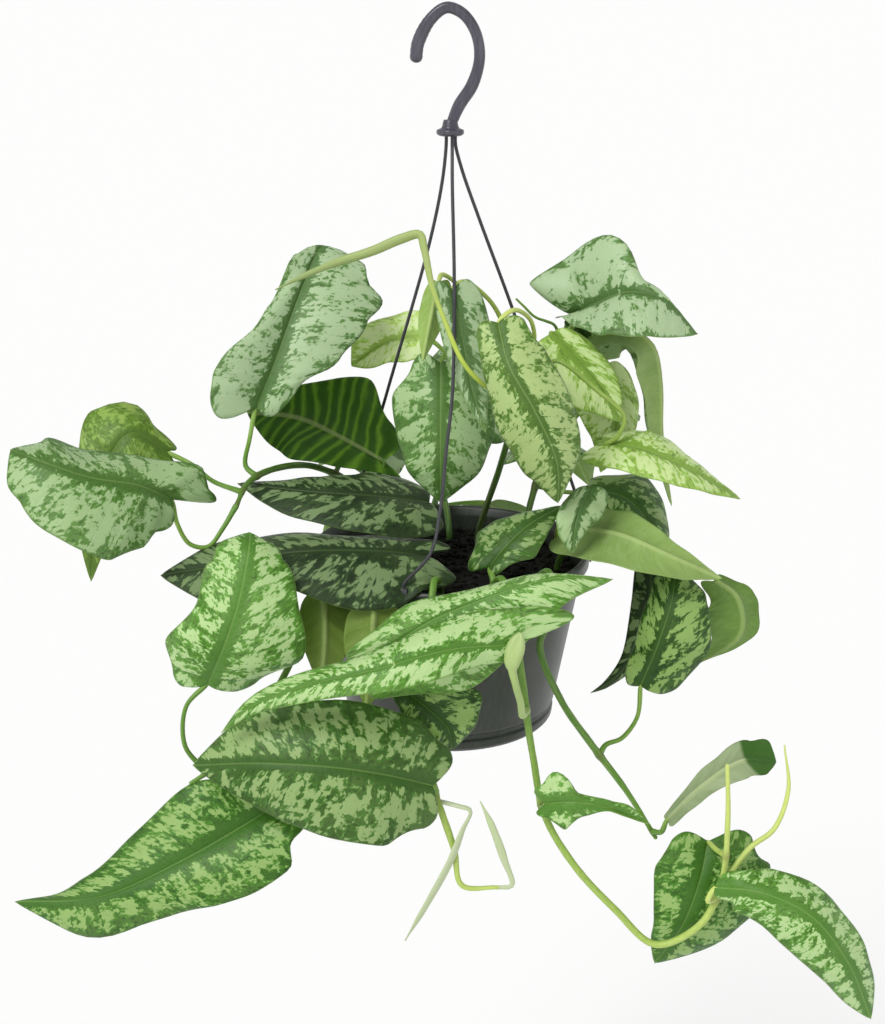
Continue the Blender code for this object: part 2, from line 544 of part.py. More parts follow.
def blade_mesh(name, blade):
    """The sheet's middle surface, as triangles."""
    sheet = bmesh.new()
    rib_row = [sheet.verts.new(place(blade.point(start, 0.0, 1.0, 0))) for start, _, _ in VEINS]
    tip = sheet.verts.new(place(blade.point(1.0, 0.0, 1.0, 0)))
    for hand in (0, 1):
        rows = []
        for at, (start, edge_u, edge_v) in enumerate(VEINS):
            row = [rib_row[at]]
            for part in ACROSS[1:]:
                share = start + (edge_u - start) * part ** 1.3
                row.append(sheet.verts.new(place(blade.point(share, part, edge_v, hand))))
            rows.append(row)
        for low, high in zip(rows, rows[1:]):
            for a, b, c, d in zip(low, low[1:], high[1:], high):
                faces = ((a, b, c), (a, c, d))
                for face in faces:
                    sheet.faces.new(face if hand else face[::-1])
        for a, b in zip(rows[-1], rows[-1][1:]):
            sheet.faces.new((a, b, tip) if hand else (tip, b, a))
    bmesh.ops.remove_doubles(sheet, verts=sheet.verts, dist=1e-7)
    mesh = bpy.data.meshes.new(name)
    sheet.to_mesh(mesh)
    sheet.free()
    return mesh


def nearest_stem(line, point):
    """The place on a stem's centre line nearest a point, and the stem's radius there."""
    best = None
    for (a, radius_a), (b, radius_b) in zip(line, line[1:]):
        part = (point - a).dot(b - a) / (b - a).length_squared
        part = min(max(part, 0.0), 1.0)
        place_on = a.lerp(b, part)
        distance = (point - place_on).length
        if best is None or distance < best[0]:
            best = (distance, place_on, radius_a + (radius_b - radius_a) * part)
    return best[1], best[2]


def petiole_mesh(name, leaf, blade, lines):
    """The stalk, from just off its stem to the blade, then on as the raised midrib below it."""
    towards = Vector(leaf["petiole"][0])
    stem, radius = nearest_stem(lines[leaf["vine"]], towards)
    away = (towards - stem).normalized()
    start = stem + away * (radius + GAP)
    under = []
    for share, depth in ((0.0, 1.2), (0.10, 1.0), (0.34, 0.6)):
        middle, _ = blade.spine(share)
        under.append(middle - blade.upward(share) * depth)
    through = [start] + [Vector(p) for p in leaf["petiole"]] + under
    length = run_length(through)
    count = max(5, round(length / 13))
    points = curve_points(through, count)
    buried = run_length(under) / length
    radii = []
    for at in range(count + 1):
        share = at / count
        along_blade = max(0.0, (share - (1 - buried)) / buried)
        radii.append(PETIOLE_RADIUS * (1 - 0.15 * share) * (1 - 0.65 * along_blade))
    return tube_mesh(name, points, radii, 0)


def make_leaf(name, leaf, lines, material):
    blade = Blade(leaf)
    item = add_object(name, blade_mesh(name, blade))
    thick = item.modifiers.new("thickness", "SOLIDIFY")
    thick.thickness = BLADE_THICKNESS * MM
    thick.offset = 0.0
    thick.use_even_offset = False
    joined(name, item, [petiole_mesh(name, leaf, blade, lines)])
    item.data.materials.clear()
    item.data.materials.append(material)
    smooth_round(item, 60)
    return item


def vine_route(vine):
    """Straight up out of the soil, then along the stem's own points."""
    x, y, _ = vine["route"][0]
    return [(x, y, -SOIL_DEPTH - ROOT_DEPTH), (x, y, -SOIL_DEPTH - 4)] + vine["route"]


def vine_line(vine):
    """The stem's centre line as it is built, with the radius at each of its points."""
    through = vine_route(vine)
    count = round(run_length(through) / 11)
    radii = [STEM_RADIUS] * 8 + [STEM_RADIUS * 0.8, STEM_RADIUS * 0.6]
    return [(point, mixed(radii, at / count)) for at, point in enumerate(curve_points(through, count))]


def make_vine(name, vine, line, material):
    item = add_object(name, tube_mesh(name, [point for point, _ in line], [radius for _, radius in line], 1))
    if vine["shoots"]:
        shoots = []
        for shoot in vine["shoots"]:
            steps = round(run_length(shoot["route"]) / 8)
            shoots.append(tube_mesh(name, curve_points(shoot["route"], steps), shoot["radii"], 1))
        joined(name, item, shoots)
    item.data.materials.clear()
    item.data.materials.append(material)
    smooth_round(item, 60)
    return item


def turned(name, profile, steps):
    """A profile of radius and height pairs, starting and ending on the axis, spun round it."""
    shape = bmesh.new()
    ring = [shape.verts.new(place((radius, 0, height))) for radius, height in profile]
    edges = [shape.edges.new(pair) for pair in zip(ring, ring[1:])]
    bmesh.ops.spin(shape, geom=ring + edges, cent=(0, 0, 0), axis=(0, 0, 1), angle=tau, steps=steps,
                   use_merge=True)
    bmesh.ops.remove_doubles(shape, verts=shape.verts, dist=1e-6)
    bmesh.ops.recalc_face_normals(shape, faces=shape.faces)
    mesh = bpy.data.meshes.new(name)
    shape.to_mesh(mesh)
    shape.free()
    return add_object(name, mesh)


def cut_holes(item, name, spots, radius, low, high, steps):
    """Round holes along Z through a body, at each spot, cut and applied."""
    group = bpy.data.collections.new(name + "_cutters")
    bpy.context.scene.collection.children.link(group)
    for x, y in spots:
        mesh = bpy.data.meshes.new(name + "_cutter")
        drill = bmesh.new()
        bmesh.ops.create_cone(drill, cap_ends=True, segments=steps, radius1=radius * MM, radius2=radius * MM,
                              depth=(high - low) * MM)
        bmesh.ops.translate(drill, verts=drill.verts, vec=place((x, y, (low + high) / 2)))
        drill.to_mesh(mesh)
        drill.free()
        group.objects.link(bpy.data.objects.new(name + "_cutter", mesh))
    cut = item.modifiers.new("holes", "BOOLEAN")
    cut.operation = "DIFFERENCE"
    cut.operand_type = "COLLECTION"
    cut.collection = group
    cut.solver = "EXACT"
    item.data = evaluated_mesh(item, name)
    item.modifiers.clear()
    for cutter in list(group.objects):
        bpy.data.objects.remove(cutter, do_unlink=True)
    bpy.data.collections.remove(group)


def inner_radius(height):
    """The pot's inside wall at a height above its base, for the pot and for the soil in it."""
    share = (height + POT_HEIGHT) / (POT_HEIGHT - LIP_HEIGHT)
    return BASE_RADIUS - POT_WALL + (RIM_RADIUS - 2.4 - BASE_RADIUS) * share


def make_pot(material):
    wall_top = -LIP_HEIGHT - 2
    outer_top = inner_radius(wall_top) + POT_WALL
    profile = [(0, -POT_HEIGHT + 3), (BASE_RADIUS - 6, -POT_HEIGHT + 3), (BASE_RADIUS - 4.5, -POT_HEIGHT),
               (BASE_RADIUS - 0.5, -POT_HEIGHT), (BASE_RADIUS + 1.2, -POT_HEIGHT + 2),
               (BASE_RADIUS + 1.6, -POT_HEIGHT + 6), (BASE_RADIUS + 0.4, -POT_HEIGHT + 7),
               (BASE_RADIUS + 0.6, -POT_HEIGHT + 9), (inner_radius(-85) + POT_WALL, -85),
               (outer_top, wall_top), (RIM_RADIUS + 0.6, -LIP_HEIGHT), (RIM_RADIUS + 1, -1.6),
               (RIM_RADIUS, 0), (RIM_RADIUS - 2, -0.6), (inner_radius(-5), -5),
               (inner_radius(-POT_HEIGHT + 7), -POT_HEIGHT + 7), (inner_radius(-POT_HEIGHT + 5) - 2,
                                                                    -POT_HEIGHT + 5), (0, -POT_HEIGHT + 5)]
    pot = turned("pot", profile, ROUND_STEPS)
    spots = [(38 * cos(tau * at / 6 + 0.3), 38 * sin(tau * at / 6 + 0.3)) for at in range(6)]
    cut_holes(pot, "pot", spots, 4, -POT_HEIGHT - 2, -POT_HEIGHT + 8, 10)
    pot.data.materials.append(material)
    smooth_round(pot, 35)


def make_soil(material):
    """The root ball that fills the pot, with a lumpy top and a plain hole for each stem."""
    floor = -POT_HEIGHT + 5 + GAP
    profile = [(0, floor), (inner_radius(floor) - 4, floor), (inner_radius(floor + 4) - 2 * GAP, floor + 4),
               (inner_radius(-SOIL_DEPTH - 3) - 2 * GAP, -SOIL_DEPTH - 3),
               (inner_radius(-SOIL_DEPTH) - 2.5, -SOIL_DEPTH), (52, -SOIL_DEPTH + 0.5), (34, -SOIL_DEPTH + 1),
               (16, -SOIL_DEPTH + 1.5), (0, -SOIL_DEPTH + 1.5)]
    soil = turned("soil", profile, ROUND_STEPS)
    top = place((0, 0, -SOIL_DEPTH - 1)).z
    for vertex in soil.data.vertices:
        if vertex.co.z > top:
            vertex.co.z += noise.noise(vertex.co / (9 * MM)) * 1.6 * MM
    spots = [vine["route"][0][:2] for vine in VINES.values()]
    cut_holes(soil, "soil", spots, STEM_RADIUS + 2 * GAP, -SOIL_DEPTH - ROOT_DEPTH - 0.5, 4, 8)
    soil.data.materials.append(material)


def make_hook(material):
    """The open hook with its flanged collar, turned in one piece."""
    points = curve_points(HOOK_ROUTE, 26)
    hook = add_object("hook", tube_mesh("hook", points, HOOK_RADII, 2))
    collar = turned("collar", [(0, COLLAR_TOP + 4), (3.4, COLLAR_TOP + 4), (4.4, COLLAR_TOP),
                               (COLLAR_RADIUS, COLLAR_TOP - 1), (COLLAR_RADIUS, COLLAR_TOP - COLLAR_HEIGHT + 1),
                               (COLLAR_RADIUS - 1.5, COLLAR_TOP - COLLAR_HEIGHT), (0, COLLAR_TOP - COLLAR_HEIGHT)],
                    16)
    ring = collar.data
    bpy.data.objects.remove(collar, do_unlink=True)
    joined("hook", hook, [ring])
    hook.data.materials.clear()
    hook.data.materials.append(material)
    smooth_round(hook, 50)


def clip_mesh(name, angle):
    """The moulded catch that holds a strand's end over the outside of the rim."""
    turn = angle * pi / 180
    out = Vector((sin(turn), -cos(turn), 0))
    across = Vector((cos(turn), sin(turn), 0))
    reach = RIM_RADIUS + 1.2 + GAP
    outline = [(reach - 4.5, 2.4), (reach + 1.8, 2.4), (reach + 2.4, -3), (reach + 1.6, -LIP_HEIGHT - 4),
               (reach - 1.6, -LIP_HEIGHT - 2.2), (reach - 1.4, -LIP_HEIGHT - 1.0), (reach, -LIP_HEIGHT - 0.6),
               (reach, 0.9), (reach - 4.5, 0.9)]
    shape = bmesh.new()
    faces = []
    for shift in (-2.6, 2.6):
        ring = [shape.verts.new(place(out * radius + across * shift + Vector((0, 0, height))))
                for radius, height in outline]
        faces.append(ring)
    shape.faces.new(faces[0])
    shape.faces.new(faces[1][::-1])
    for at in range(len(outline)):
        after = (at + 1) % len(outline)
        shape.faces.new((faces[0][after], faces[0][at], faces[1][at], faces[1][after]))
    bmesh.ops.recalc_face_normals(shape, faces=shape.faces)
    mesh = bpy.data.meshes.new(name)
    shape.to_mesh(mesh)
    shape.free()
    return mesh


def make_strand(name, strand, material):
    turn = strand["rim_angle"] * pi / 180
    x, y = strand["start"]
    edge = RIM_RADIUS + 1.2
    top = (edge * sin(turn), -edge * cos(turn), 4)
    end = (edge * sin(turn), -edge * cos(turn), 1.7)
    start = (x, y, COLLAR_TOP - COLLAR_HEIGHT - GAP)
    below = (x, y, COLLAR_TOP - COLLAR_HEIGHT - 4)
    through = [start, below] + strand["bends"] + [top, end]
    points = curve_points(through, 16)
    item = add_object(name, tube_mesh(name, points, (STRAND_RADIUS, STRAND_RADIUS), 1))
    joined(name, item, [clip_mesh(name, strand["rim_angle"])])
    item.data.materials.clear()
    item.data.materials.append(material)
    smooth_round(item, 50)


def main():
    clear_scene()
    pot_plastic = make_material("pot_plastic", (0.045, 0.050, 0.058), 0.42)
    hook_plastic = make_material("hook_plastic", (0.065, 0.065, 0.085), 0.38)
    strand_plastic = make_material("strand_plastic", (0.030, 0.030, 0.036), 0.45)
    potting_soil = make_material("potting_soil", (0.012, 0.009, 0.007), 0.95)
    green_stem = make_material("green_stem", (0.16, 0.27, 0.04), 0.45)
    satin_leaf = make_material("satin_leaf", (0.16, 0.30, 0.08), 0.50)
    make_pot(pot_plastic)
    make_soil(potting_soil)
    make_hook(hook_plastic)
    for name, strand in STRANDS.items():
        make_strand(name, strand, strand_plastic)
    lines = {name: vine_line(vine) for name, vine in VINES.items()}
    for name, vine in VINES.items():
        make_vine(name, vine, lines[name], green_stem)
    for name, leaf in LEAVES.items():
        make_leaf("leaf_" + name, leaf, lines, satin_leaf)


main()
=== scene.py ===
import random
from math import asin, cos, exp, pi, radians, sin, tau

import bmesh
import bpy
import numpy as np
from mathutils import Matrix, Vector, noise


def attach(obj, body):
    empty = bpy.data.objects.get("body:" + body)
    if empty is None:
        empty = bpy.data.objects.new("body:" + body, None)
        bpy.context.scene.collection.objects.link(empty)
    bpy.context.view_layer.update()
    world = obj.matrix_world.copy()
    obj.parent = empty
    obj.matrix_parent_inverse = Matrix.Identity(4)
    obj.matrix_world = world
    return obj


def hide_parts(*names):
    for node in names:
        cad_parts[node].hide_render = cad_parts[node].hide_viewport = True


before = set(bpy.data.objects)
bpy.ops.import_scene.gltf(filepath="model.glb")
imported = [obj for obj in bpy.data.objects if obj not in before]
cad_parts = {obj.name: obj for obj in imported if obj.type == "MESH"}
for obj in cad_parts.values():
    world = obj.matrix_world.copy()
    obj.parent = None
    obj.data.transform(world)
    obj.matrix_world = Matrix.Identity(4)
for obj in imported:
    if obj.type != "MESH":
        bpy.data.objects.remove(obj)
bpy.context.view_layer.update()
print("frame loaded:", len(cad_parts), "nodes")

# The plant hangs from the crown of its hook, and every table is in millimetres from the centre of
# the pot's rim: X to the right, Y away from the viewer, Z up
unit = 0.001
hangHeight = 277
soilDepth = 12  # from the rim down to the potting mix
gap = 0.3  # air between two pieces that would touch
tiny = 1e-6


def inFrame(point):  # a table point in metres, from the hook's crown
    x, y, z = point
    return Vector((x, y, z - hangHeight)) * unit


class Wire:  # a socket that takes part in sums
    def __init__(self, shade, socket):
        self.shade = shade
        self.socket = socket

    def maths(self, operation, first, second):
        return self.shade.node("ShaderNodeMath", {"operation": operation}, {0: first, 1: second})

    def __add__(self, other):
        return self.maths("ADD", self, other)

    def __radd__(self, other):
        return self.maths("ADD", other, self)

    def __sub__(self, other):
        return self.maths("SUBTRACT", self, other)

    def __rsub__(self, other):
        return self.maths("SUBTRACT", other, self)

    def __mul__(self, other):
        return self.maths("MULTIPLY", self, other)

    def __abs__(self):
        return self.maths("ABSOLUTE", self, 0.0)


class Shade:  # one material while it is wired
    def __init__(self, name, **fixed):
        self.material = bpy.data.materials.new(name)
        self.material.use_nodes = True
        self.tree = self.material.node_tree
        self.tree.nodes.clear()
        output = self.tree.nodes.new("ShaderNodeOutputMaterial")
        self.shader = self.tree.nodes.new("ShaderNodeBsdfPrincipled")
        self.tree.links.new(self.shader.outputs[0], output.inputs["Surface"])
        self.finish(**fixed)

    def feed(self, socket, value):
        if isinstance(value, Wire):
            self.tree.links.new(value.socket, socket)
        elif socket.type == "RGBA":
            socket.default_value = (*value[:3], 1.0)
        else:
            socket.default_value = value

    def node(self, kind, settings=None, sockets=None, output=0):
        made = self.tree.nodes.new(kind)
        for key, value in (settings or {}).items():
            setattr(made, key, value)
        for key, value in (sockets or {}).items():
            self.feed(made.inputs[key], value)
        return Wire(self, made.outputs[output])

    def attribute(self, name):
        return self.node("ShaderNodeAttribute", {"attribute_name": name}, output=1)

    def objectPlace(self):
        return self.node("ShaderNodeTexCoord", output=3)

    def split(self, vector):
        parts = self.node("ShaderNodeSeparateXYZ", sockets={0: vector}).socket.node
        return [Wire(self, parts.outputs[at]) for at in range(3)]

    def scaled(self, vector, by):
        return self.node("ShaderNodeVectorMath", {"operation": "MULTIPLY"}, {0: vector, 1: by})

    def sine(self, value):
        return self.node("ShaderNodeMath", {"operation": "SINE"}, {0: value})

    def noise(self, vector, scale, detail=3.0, rough=0.5, twist=0.0):
        return self.node("ShaderNodeTexNoise", sockets={
            "Vector": vector, "Scale": scale, "Detail": detail, "Roughness": rough, "Distortion": twist})

    def cloud(self, place, kind, scale=1.0):  # one of the plant's own mottles
        stretch, detail, rough, twist = mottles[kind]
        return self.noise(self.scaled(place, stretch), scale, detail, rough, twist)

    def ramp(self, amount, stops):  # colours along a scale from 0 to 1
        made = self.node("ShaderNodeValToRGB", sockets={0: amount})
        colours = made.socket.node.color_ramp
        for end in (0, -1):
            colours.elements[end].position = stops[end][0]
            colours.elements[end].color = (*stops[end][1], 1)
        for place, colour in stops[1:-1]:
            colours.elements.new(place).color = (*colour, 1)
        return made

    def ease(self, value, low, high):  # 0 at low, 1 at high, smooth between
        return self.node("ShaderNodeMapRange", {"interpolation_type": "SMOOTHSTEP"},
                         {"Value": value, "From Min": low, "From Max": high})

    def blend(self, amount, first, second):
        return self.node("ShaderNodeMix", {"data_type": "RGBA"}, {0: amount, 6: first, 7: second}, 2)

    def bump(self, height, strength, distance):
        return self.node("ShaderNodeBump", sockets={
            "Height": height, "Strength": strength, "Distance": distance})

    def finish(self, **values):
        for name, value in values.items():
            self.feed(self.shader.inputs[name.replace("_", " ")], value)
        return self.material


class Form:  # points and faces gathered before they become one mesh
    def __init__(self):
        self.points, self.faces, self.slots = [], [], []
        self.place, self.mark = [], []

    def add(self, points, faces, slot=0, place=None, mark=None):
        first = len(self.points)
        self.points.extend(points)
        self.faces.extend([tuple(first + at for at in face) for face in faces])
        self.slots.extend([slot] * len(faces) if isinstance(slot, int) else slot)
        self.place.extend(place or [(0, 0, 0)] * len(points))
        self.mark.extend(mark or [(0, 0, 0)] * len(points))

    def build(self, name, materials):
        mesh = bpy.data.meshes.new(name)
        mesh.from_pydata([inFrame(p) for p in self.points], [], self.faces)
        for title, values in (("place", self.place), ("mark", self.mark)):
            layer = mesh.attributes.new(title, "FLOAT_VECTOR", "POINT")
            layer.data.foreach_set("vector", np.array(values, np.float32).ravel())
        for material in materials:
            mesh.materials.append(material)
        mesh.polygons.foreach_set("material_index", self.slots)
        mesh.validate()
        mesh.shade_smooth()
        item = bpy.data.objects.new(name, mesh)
        bpy.context.scene.collection.objects.link(item)
        return item


def applyModifiers(item):
    graph = bpy.context.evaluated_depsgraph_get()
    graph.update()
    made = bpy.data.meshes.new_from_object(item.evaluated_get(graph))
    item.modifiers.clear()
    item.data = made


def combine(item, others, operation, sharp):
    # joins the others to the item or cuts them out of it; edges past the sharp angle stay crisp
    for other in others:
        step = item.modifiers.new("join", "BOOLEAN")
        step.operation, step.object, step.solver = operation, other, "EXACT"
    applyModifiers(item)
    for other in others:
        bpy.data.objects.remove(other, do_unlink=True)
    item.data.set_sharp_from_angle(angle=radians(sharp))


def dress(item, node):  # the piece stands for its CAD node, which is hidden
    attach(item, "root")
    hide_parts(node)


def lengthsAlong(points):  # how far each point lies from the first, along the line
    lengths = [0.0]
    for a, b in zip(points, points[1:]):
        lengths.append(lengths[-1] + (Vector(b) - Vector(a)).length)
    return lengths


def runLength(points):
    return lengthsAlong(points)[-1]


def curvePoints(points, count):  # a smooth curve through the points, in even steps
    points = [Vector(p) for p in points]
    ends = [points[0] * 2 - points[1]] + points + [points[-1] * 2 - points[-2]]
    dense, cuts = [], 12
    for a, b, c, d in zip(ends, ends[1:], ends[2:], ends[3:]):
        t1 = max((b - a).length, tiny) ** 0.5
        t2 = t1 + max((c - b).length, tiny) ** 0.5
        t3 = t2 + max((d - c).length, tiny) ** 0.5
        for step in range(cuts):
            t = t1 + (t2 - t1) * step / cuts
            ab, bc, cd = a.lerp(b, t / t1), b.lerp(c, (t - t1) / (t2 - t1)), c.lerp(d, (t - t2) / (t3 - t2))
            dense.append(ab.lerp(bc, t / t2).lerp(bc.lerp(cd, (t - t1) / (t3 - t1)), (t - t1) / (t2 - t1)))
    dense.append(points[-1])
    lengths = lengthsAlong(dense)
    even, at = [], 0
    for step in range(count + 1):
        want = lengths[-1] * step / count
        while at < len(dense) - 2 and lengths[at + 1] < want:
            at += 1
        span = max(lengths[at + 1] - lengths[at], tiny)
        even.append(dense[at].lerp(dense[at + 1], min(1.0, (want - lengths[at]) / span)))
    return even


def between(values, share):  # read between evenly spread values, eased
    at = min(max(share, 0.0), 1.0) * (len(values) - 1)
    low = min(int(at), len(values) - 2)
    part = at - low
    part = part * part * (3 - 2 * part)
    return values[low] + (values[low + 1] - values[low]) * part


def ringFaces(rings, sides):  # the walls between one ring of points and the next
    faces = []
    for row in range(rings - 1):
        for turn in range(sides):
            after = (turn + 1) % sides
            a, b = row * sides + turn, row * sides + after
            faces.append((a, b, b + sides, a + sides))
    return faces


tubeBuild = {"cap": 0.8, "capBends": (0.35, 0.7, 0.92), "wrap": 2.5}  # wrap: the width of its mottle


def sweep(form, line, radii, sides, slot=0, seed=0.0, ages=(0.5, 0.5), rings=None, flat=1.0, across=None,
          section=None, cap=tubeBuild["cap"]):
    # a closed tube with round ends; flat squeezes it, across is the way its wide side faces
    count, wrap = len(line), tubeBuild["wrap"]
    tangents = [(line[min(at + 1, count - 1)] - line[max(at - 1, 0)]).normalized() for at in range(count)]
    side = Vector(across) if across else Vector((0, 1, 0.2)).cross(tangents[0])
    if side.length < 0.1:  # the tube starts along that way, so another one serves
        side = Vector((1, 0, 0.3)).cross(tangents[0])
    along = lengthsAlong(line)
    bends = tubeBuild["capBends"]
    stations = [(0, -cos(asin(bend)) * radii[0] * tubeBuild["cap"], bend) for bend in bends]
    stations += [(at, 0.0, 1.0) for at in range(count)]
    stations += [(count - 1, cos(asin(bend)) * radii[-1] * cap, bend) for bend in reversed(bends)]
    points, places, marks = [], [], []
    for at, shift, shrink in stations:
        side = (side - tangents[at] * side.dot(tangents[at])).normalized()
        other = tangents[at].cross(side)
        share = along[at] / along[-1]
        for turn in range(sides):
            angle = tau * turn / sides
            radius = radii[at] * shrink * (section(angle, share) if section else 1.0)
            points.append(line[at] + tangents[at] * shift + side * cos(angle) * radius
                          + other * sin(angle) * radius * flat)
            places.append((along[at], wrap * cos(angle), seed + wrap * sin(angle)))
            marks.append((ages[0] + (ages[1] - ages[0]) * share, rings[at] if rings else 0.0, share))
    faces = ringFaces(len(stations), sides)
    last, row = len(points), (len(stations) - 1) * sides
    for turn in range(sides):
        after = (turn + 1) % sides
        faces += [(after, turn, last), (row + turn, row + after, last + 1)]
    for at, shift in ((0, -tubeBuild["cap"] * radii[0]), (count - 1, cap * radii[-1])):
        points.append(line[at] + tangents[at] * shift)
        places.append((along[at], 0, seed))
        marks.append((ages[1 if at else 0], 0, 1 if at else 0))
    form.add(points, faces, slot, places, marks)


def lathe(form, profile, steps, wobble=None):
    # the profile starts and ends on the axis and runs up the outside
    points = []
    for radius, height in profile[1:-1]:
        for turn in range(steps):
            angle = tau * turn / steps
            points.append(Vector((radius * cos(angle), radius * sin(angle), height)))
    last, row = len(points), (len(profile) - 3) * steps
    points += [Vector((0, 0, height)) for _, height in (profile[0], profile[-1])]
    if wobble:
        points = [wobble(point) for point in points]
    faces = ringFaces(len(profile) - 2, steps)
    for turn in range(steps):
        after = (turn + 1) % steps
        faces += [(after, turn, last), (row + turn, row + after, last + 1)]
    form.add(points, faces, 0, [tuple(p) for p in points])


def rounded(profile, size, cuts=4):  # the profile with its corners eased
    made = [profile[0]]
    for before, here, after in zip(profile, profile[1:], profile[2:]):
        b, h, a = Vector(before), Vector(here), Vector(after)
        back, on = (b - h), (a - h)
        start = h + back.normalized() * min(size, back.length * 0.45)
        end = h + on.normalized() * min(size, on.length * 0.45)
        for cut in range(cuts + 1):
            t = cut / cuts
            made.append(tuple(start.lerp(h, t).lerp(h.lerp(end, t), t)))
    return made + [profile[-1]]


# How each group of leaves is coloured: cover is the share of silver, band the half width of the clear
# strip along the midrib, soft the blur of a patch's edge, bare how firmly the strip stays clear
leafLooks = {
    "silvery": {"green": (0.080, 0.165, 0.036), "silver": (0.385, 0.515, 0.290), "rib": (0.07, 0.16, 0.036),
                "under": (0.24, 0.36, 0.11), "cover": 0.60, "band": 3.6, "soft": 0.030, "bare": 0.14},
    "misty": {"green": (0.066, 0.165, 0.024), "silver": (0.335, 0.480, 0.225), "rib": (0.062, 0.150, 0.022),
              "under": (0.22, 0.34, 0.09), "cover": 0.51, "band": 3.8, "soft": 0.028, "bare": 0.15},
    "sallow": {"green": (0.082, 0.165, 0.018), "silver": (0.400, 0.530, 0.200), "rib": (0.060, 0.140, 0.018),
               "under": (0.26, 0.38, 0.11), "cover": 0.57, "band": 3.0, "soft": 0.032, "bare": 0.14},
    "vivid": {"green": (0.060, 0.175, 0.010), "silver": (0.430, 0.610, 0.260), "rib": (0.075, 0.210, 0.020),
              "under": (0.25, 0.40, 0.10), "cover": 0.45, "band": 4.2, "soft": 0.022},
    "speckled": {"green": (0.065, 0.180, 0.012), "silver": (0.43, 0.61, 0.26), "rib": (0.075, 0.210, 0.020),
                 "under": (0.27, 0.42, 0.12), "cover": 0.50, "band": 2.2, "soft": 0.022, "bare": 0.10},
    "lush": {"green": (0.030, 0.110, 0.005), "silver": (0.270, 0.420, 0.125), "rib": (0.045, 0.145, 0.010),
             "under": (0.20, 0.34, 0.08), "cover": 0.43, "band": 4.6, "soft": 0.024},
    "broad": {"green": (0.033, 0.094, 0.006), "silver": (0.260, 0.380, 0.135), "rib": (0.034, 0.105, 0.010),
              "under": (0.20, 0.32, 0.08), "cover": 0.45, "band": 3.4, "soft": 0.022, "fine": 0.75},
    # deepShaded: the leaves' own darker green together with painted shade, for leaves lying in shade
    "deepShaded": {"green": (0.014, 0.052, 0.003), "silver": (0.260, 0.410, 0.110), "rib": (0.026, 0.085, 0.006),
             "under": (0.15, 0.27, 0.05), "cover": 0.50, "band": 3.4, "soft": 0.024},
    # shaded: the leaf colours darkened as painted shade, for leaves lying in shade
    "shaded": {"green": (0.009, 0.026, 0.004), "silver": (0.165, 0.245, 0.100), "rib": (0.016, 0.040, 0.007),
               "under": (0.10, 0.17, 0.04), "cover": 0.43, "band": 2.4, "soft": 0.026, "fine": 0.55},
    "lime": {"green": (0.200, 0.340, 0.045), "silver": (0.550, 0.700, 0.300), "rib": (0.190, 0.330, 0.045),
             "under": (0.28, 0.42, 0.10), "cover": 0.52, "band": 2.6, "soft": 0.036},
    # paintedLight: the lime colours brightened as painted light
    "paintedLight": {"green": (0.400, 0.580, 0.140), "silver": (0.70, 0.84, 0.42), "rib": (0.320, 0.500, 0.080),
                "under": (0.34, 0.48, 0.12), "cover": 0.52, "band": 2.6, "soft": 0.036},
    # olive: the undersides' own green together with painted shade, for undersides lying in shade
    "olive": {"green": (0.105, 0.200, 0.016), "silver": (0.250, 0.380, 0.072), "rib": (0.070, 0.145, 0.016),
              "under": (0.17, 0.26, 0.045), "cover": 0.40, "band": 3.0, "soft": 0.05},
    # backlit: a dark green face as painted shade, with bright yellow-green veins as painted light shining
    # through the leaf
    "backlit": {"green": (0.022, 0.075, 0.001), "silver": (0.060, 0.14, 0.009), "rib": (0.070, 0.150, 0.010),
                "under": (0.020, 0.074, 0.001), "cover": 0.22, "band": 1.6, "soft": 0.07,
                "paintedLitVein": (0.130, 0.290, 0.014), "veinShare": 0.66, "veinWide": 0.95},
    "ashen": {"green": (0.060, 0.130, 0.030), "silver": (0.30, 0.42, 0.22), "rib": (0.050, 0.120, 0.030),
              "under": (0.300, 0.375, 0.200), "cover": 0.40, "band": 3.0, "soft": 0.030,
              "tip": (0.040, 0.115, 0.014)},
    "pale": {"green": (0.090, 0.170, 0.030), "silver": (0.36, 0.50, 0.24), "rib": (0.050, 0.140, 0.030),
             "under": (0.26, 0.39, 0.105), "cover": 0.62, "band": 3.0, "soft": 0.036},
}
leafSheen = {"roughness": 0.44, "bumpDepth": 0.00022, "veinGap": 6.5, "veinWide": 0.30, "ragged": 4.0,
             "cover": 0.34, "bare": 0.22, "gather": 0.075}
mottles = {  # how far each cloud is squeezed along, across and by seed, then its detail, roughness and twist
    "patches": ((0.10, 0.17, 1.0), 2.0, 0.5, 0.3),
    "flecks": ((0.40, 0.46, 1.3), 4.0, 0.55, 0.5),
    "spots": ((0.52, 0.62, 2.1), 3.0, 0.5, 0.4),
    "tone": ((0.03, 0.03, 0.7), 2.0, 0.5, 0.0),
    "grain": ((1.6, 2.2, 1.0), 2.0, 0.5, 0.0),
    "underTone": ((0.05, 0.08, 0.8), 3.0, 0.5, 0.0),
    "underFlecks": ((0.20, 0.45, 1.3), 4.0, 0.6, 0.4),
    "stemStreak": ((0.05, 0.9, 0.9), 3.0, 0.5, 0.0),
    "stemMottle": ((0.35, 0.5, 0.5), 4.0, 0.6, 0.0),
}


def veinLines(shade, along, wide, torn=0.0):  # 1 on a side vein, 0 between two
    wave = shade.sine(along * (pi / leafSheen["veinGap"]))
    return 1 - shade.ease(abs(wave) + torn, 0.0, wide)


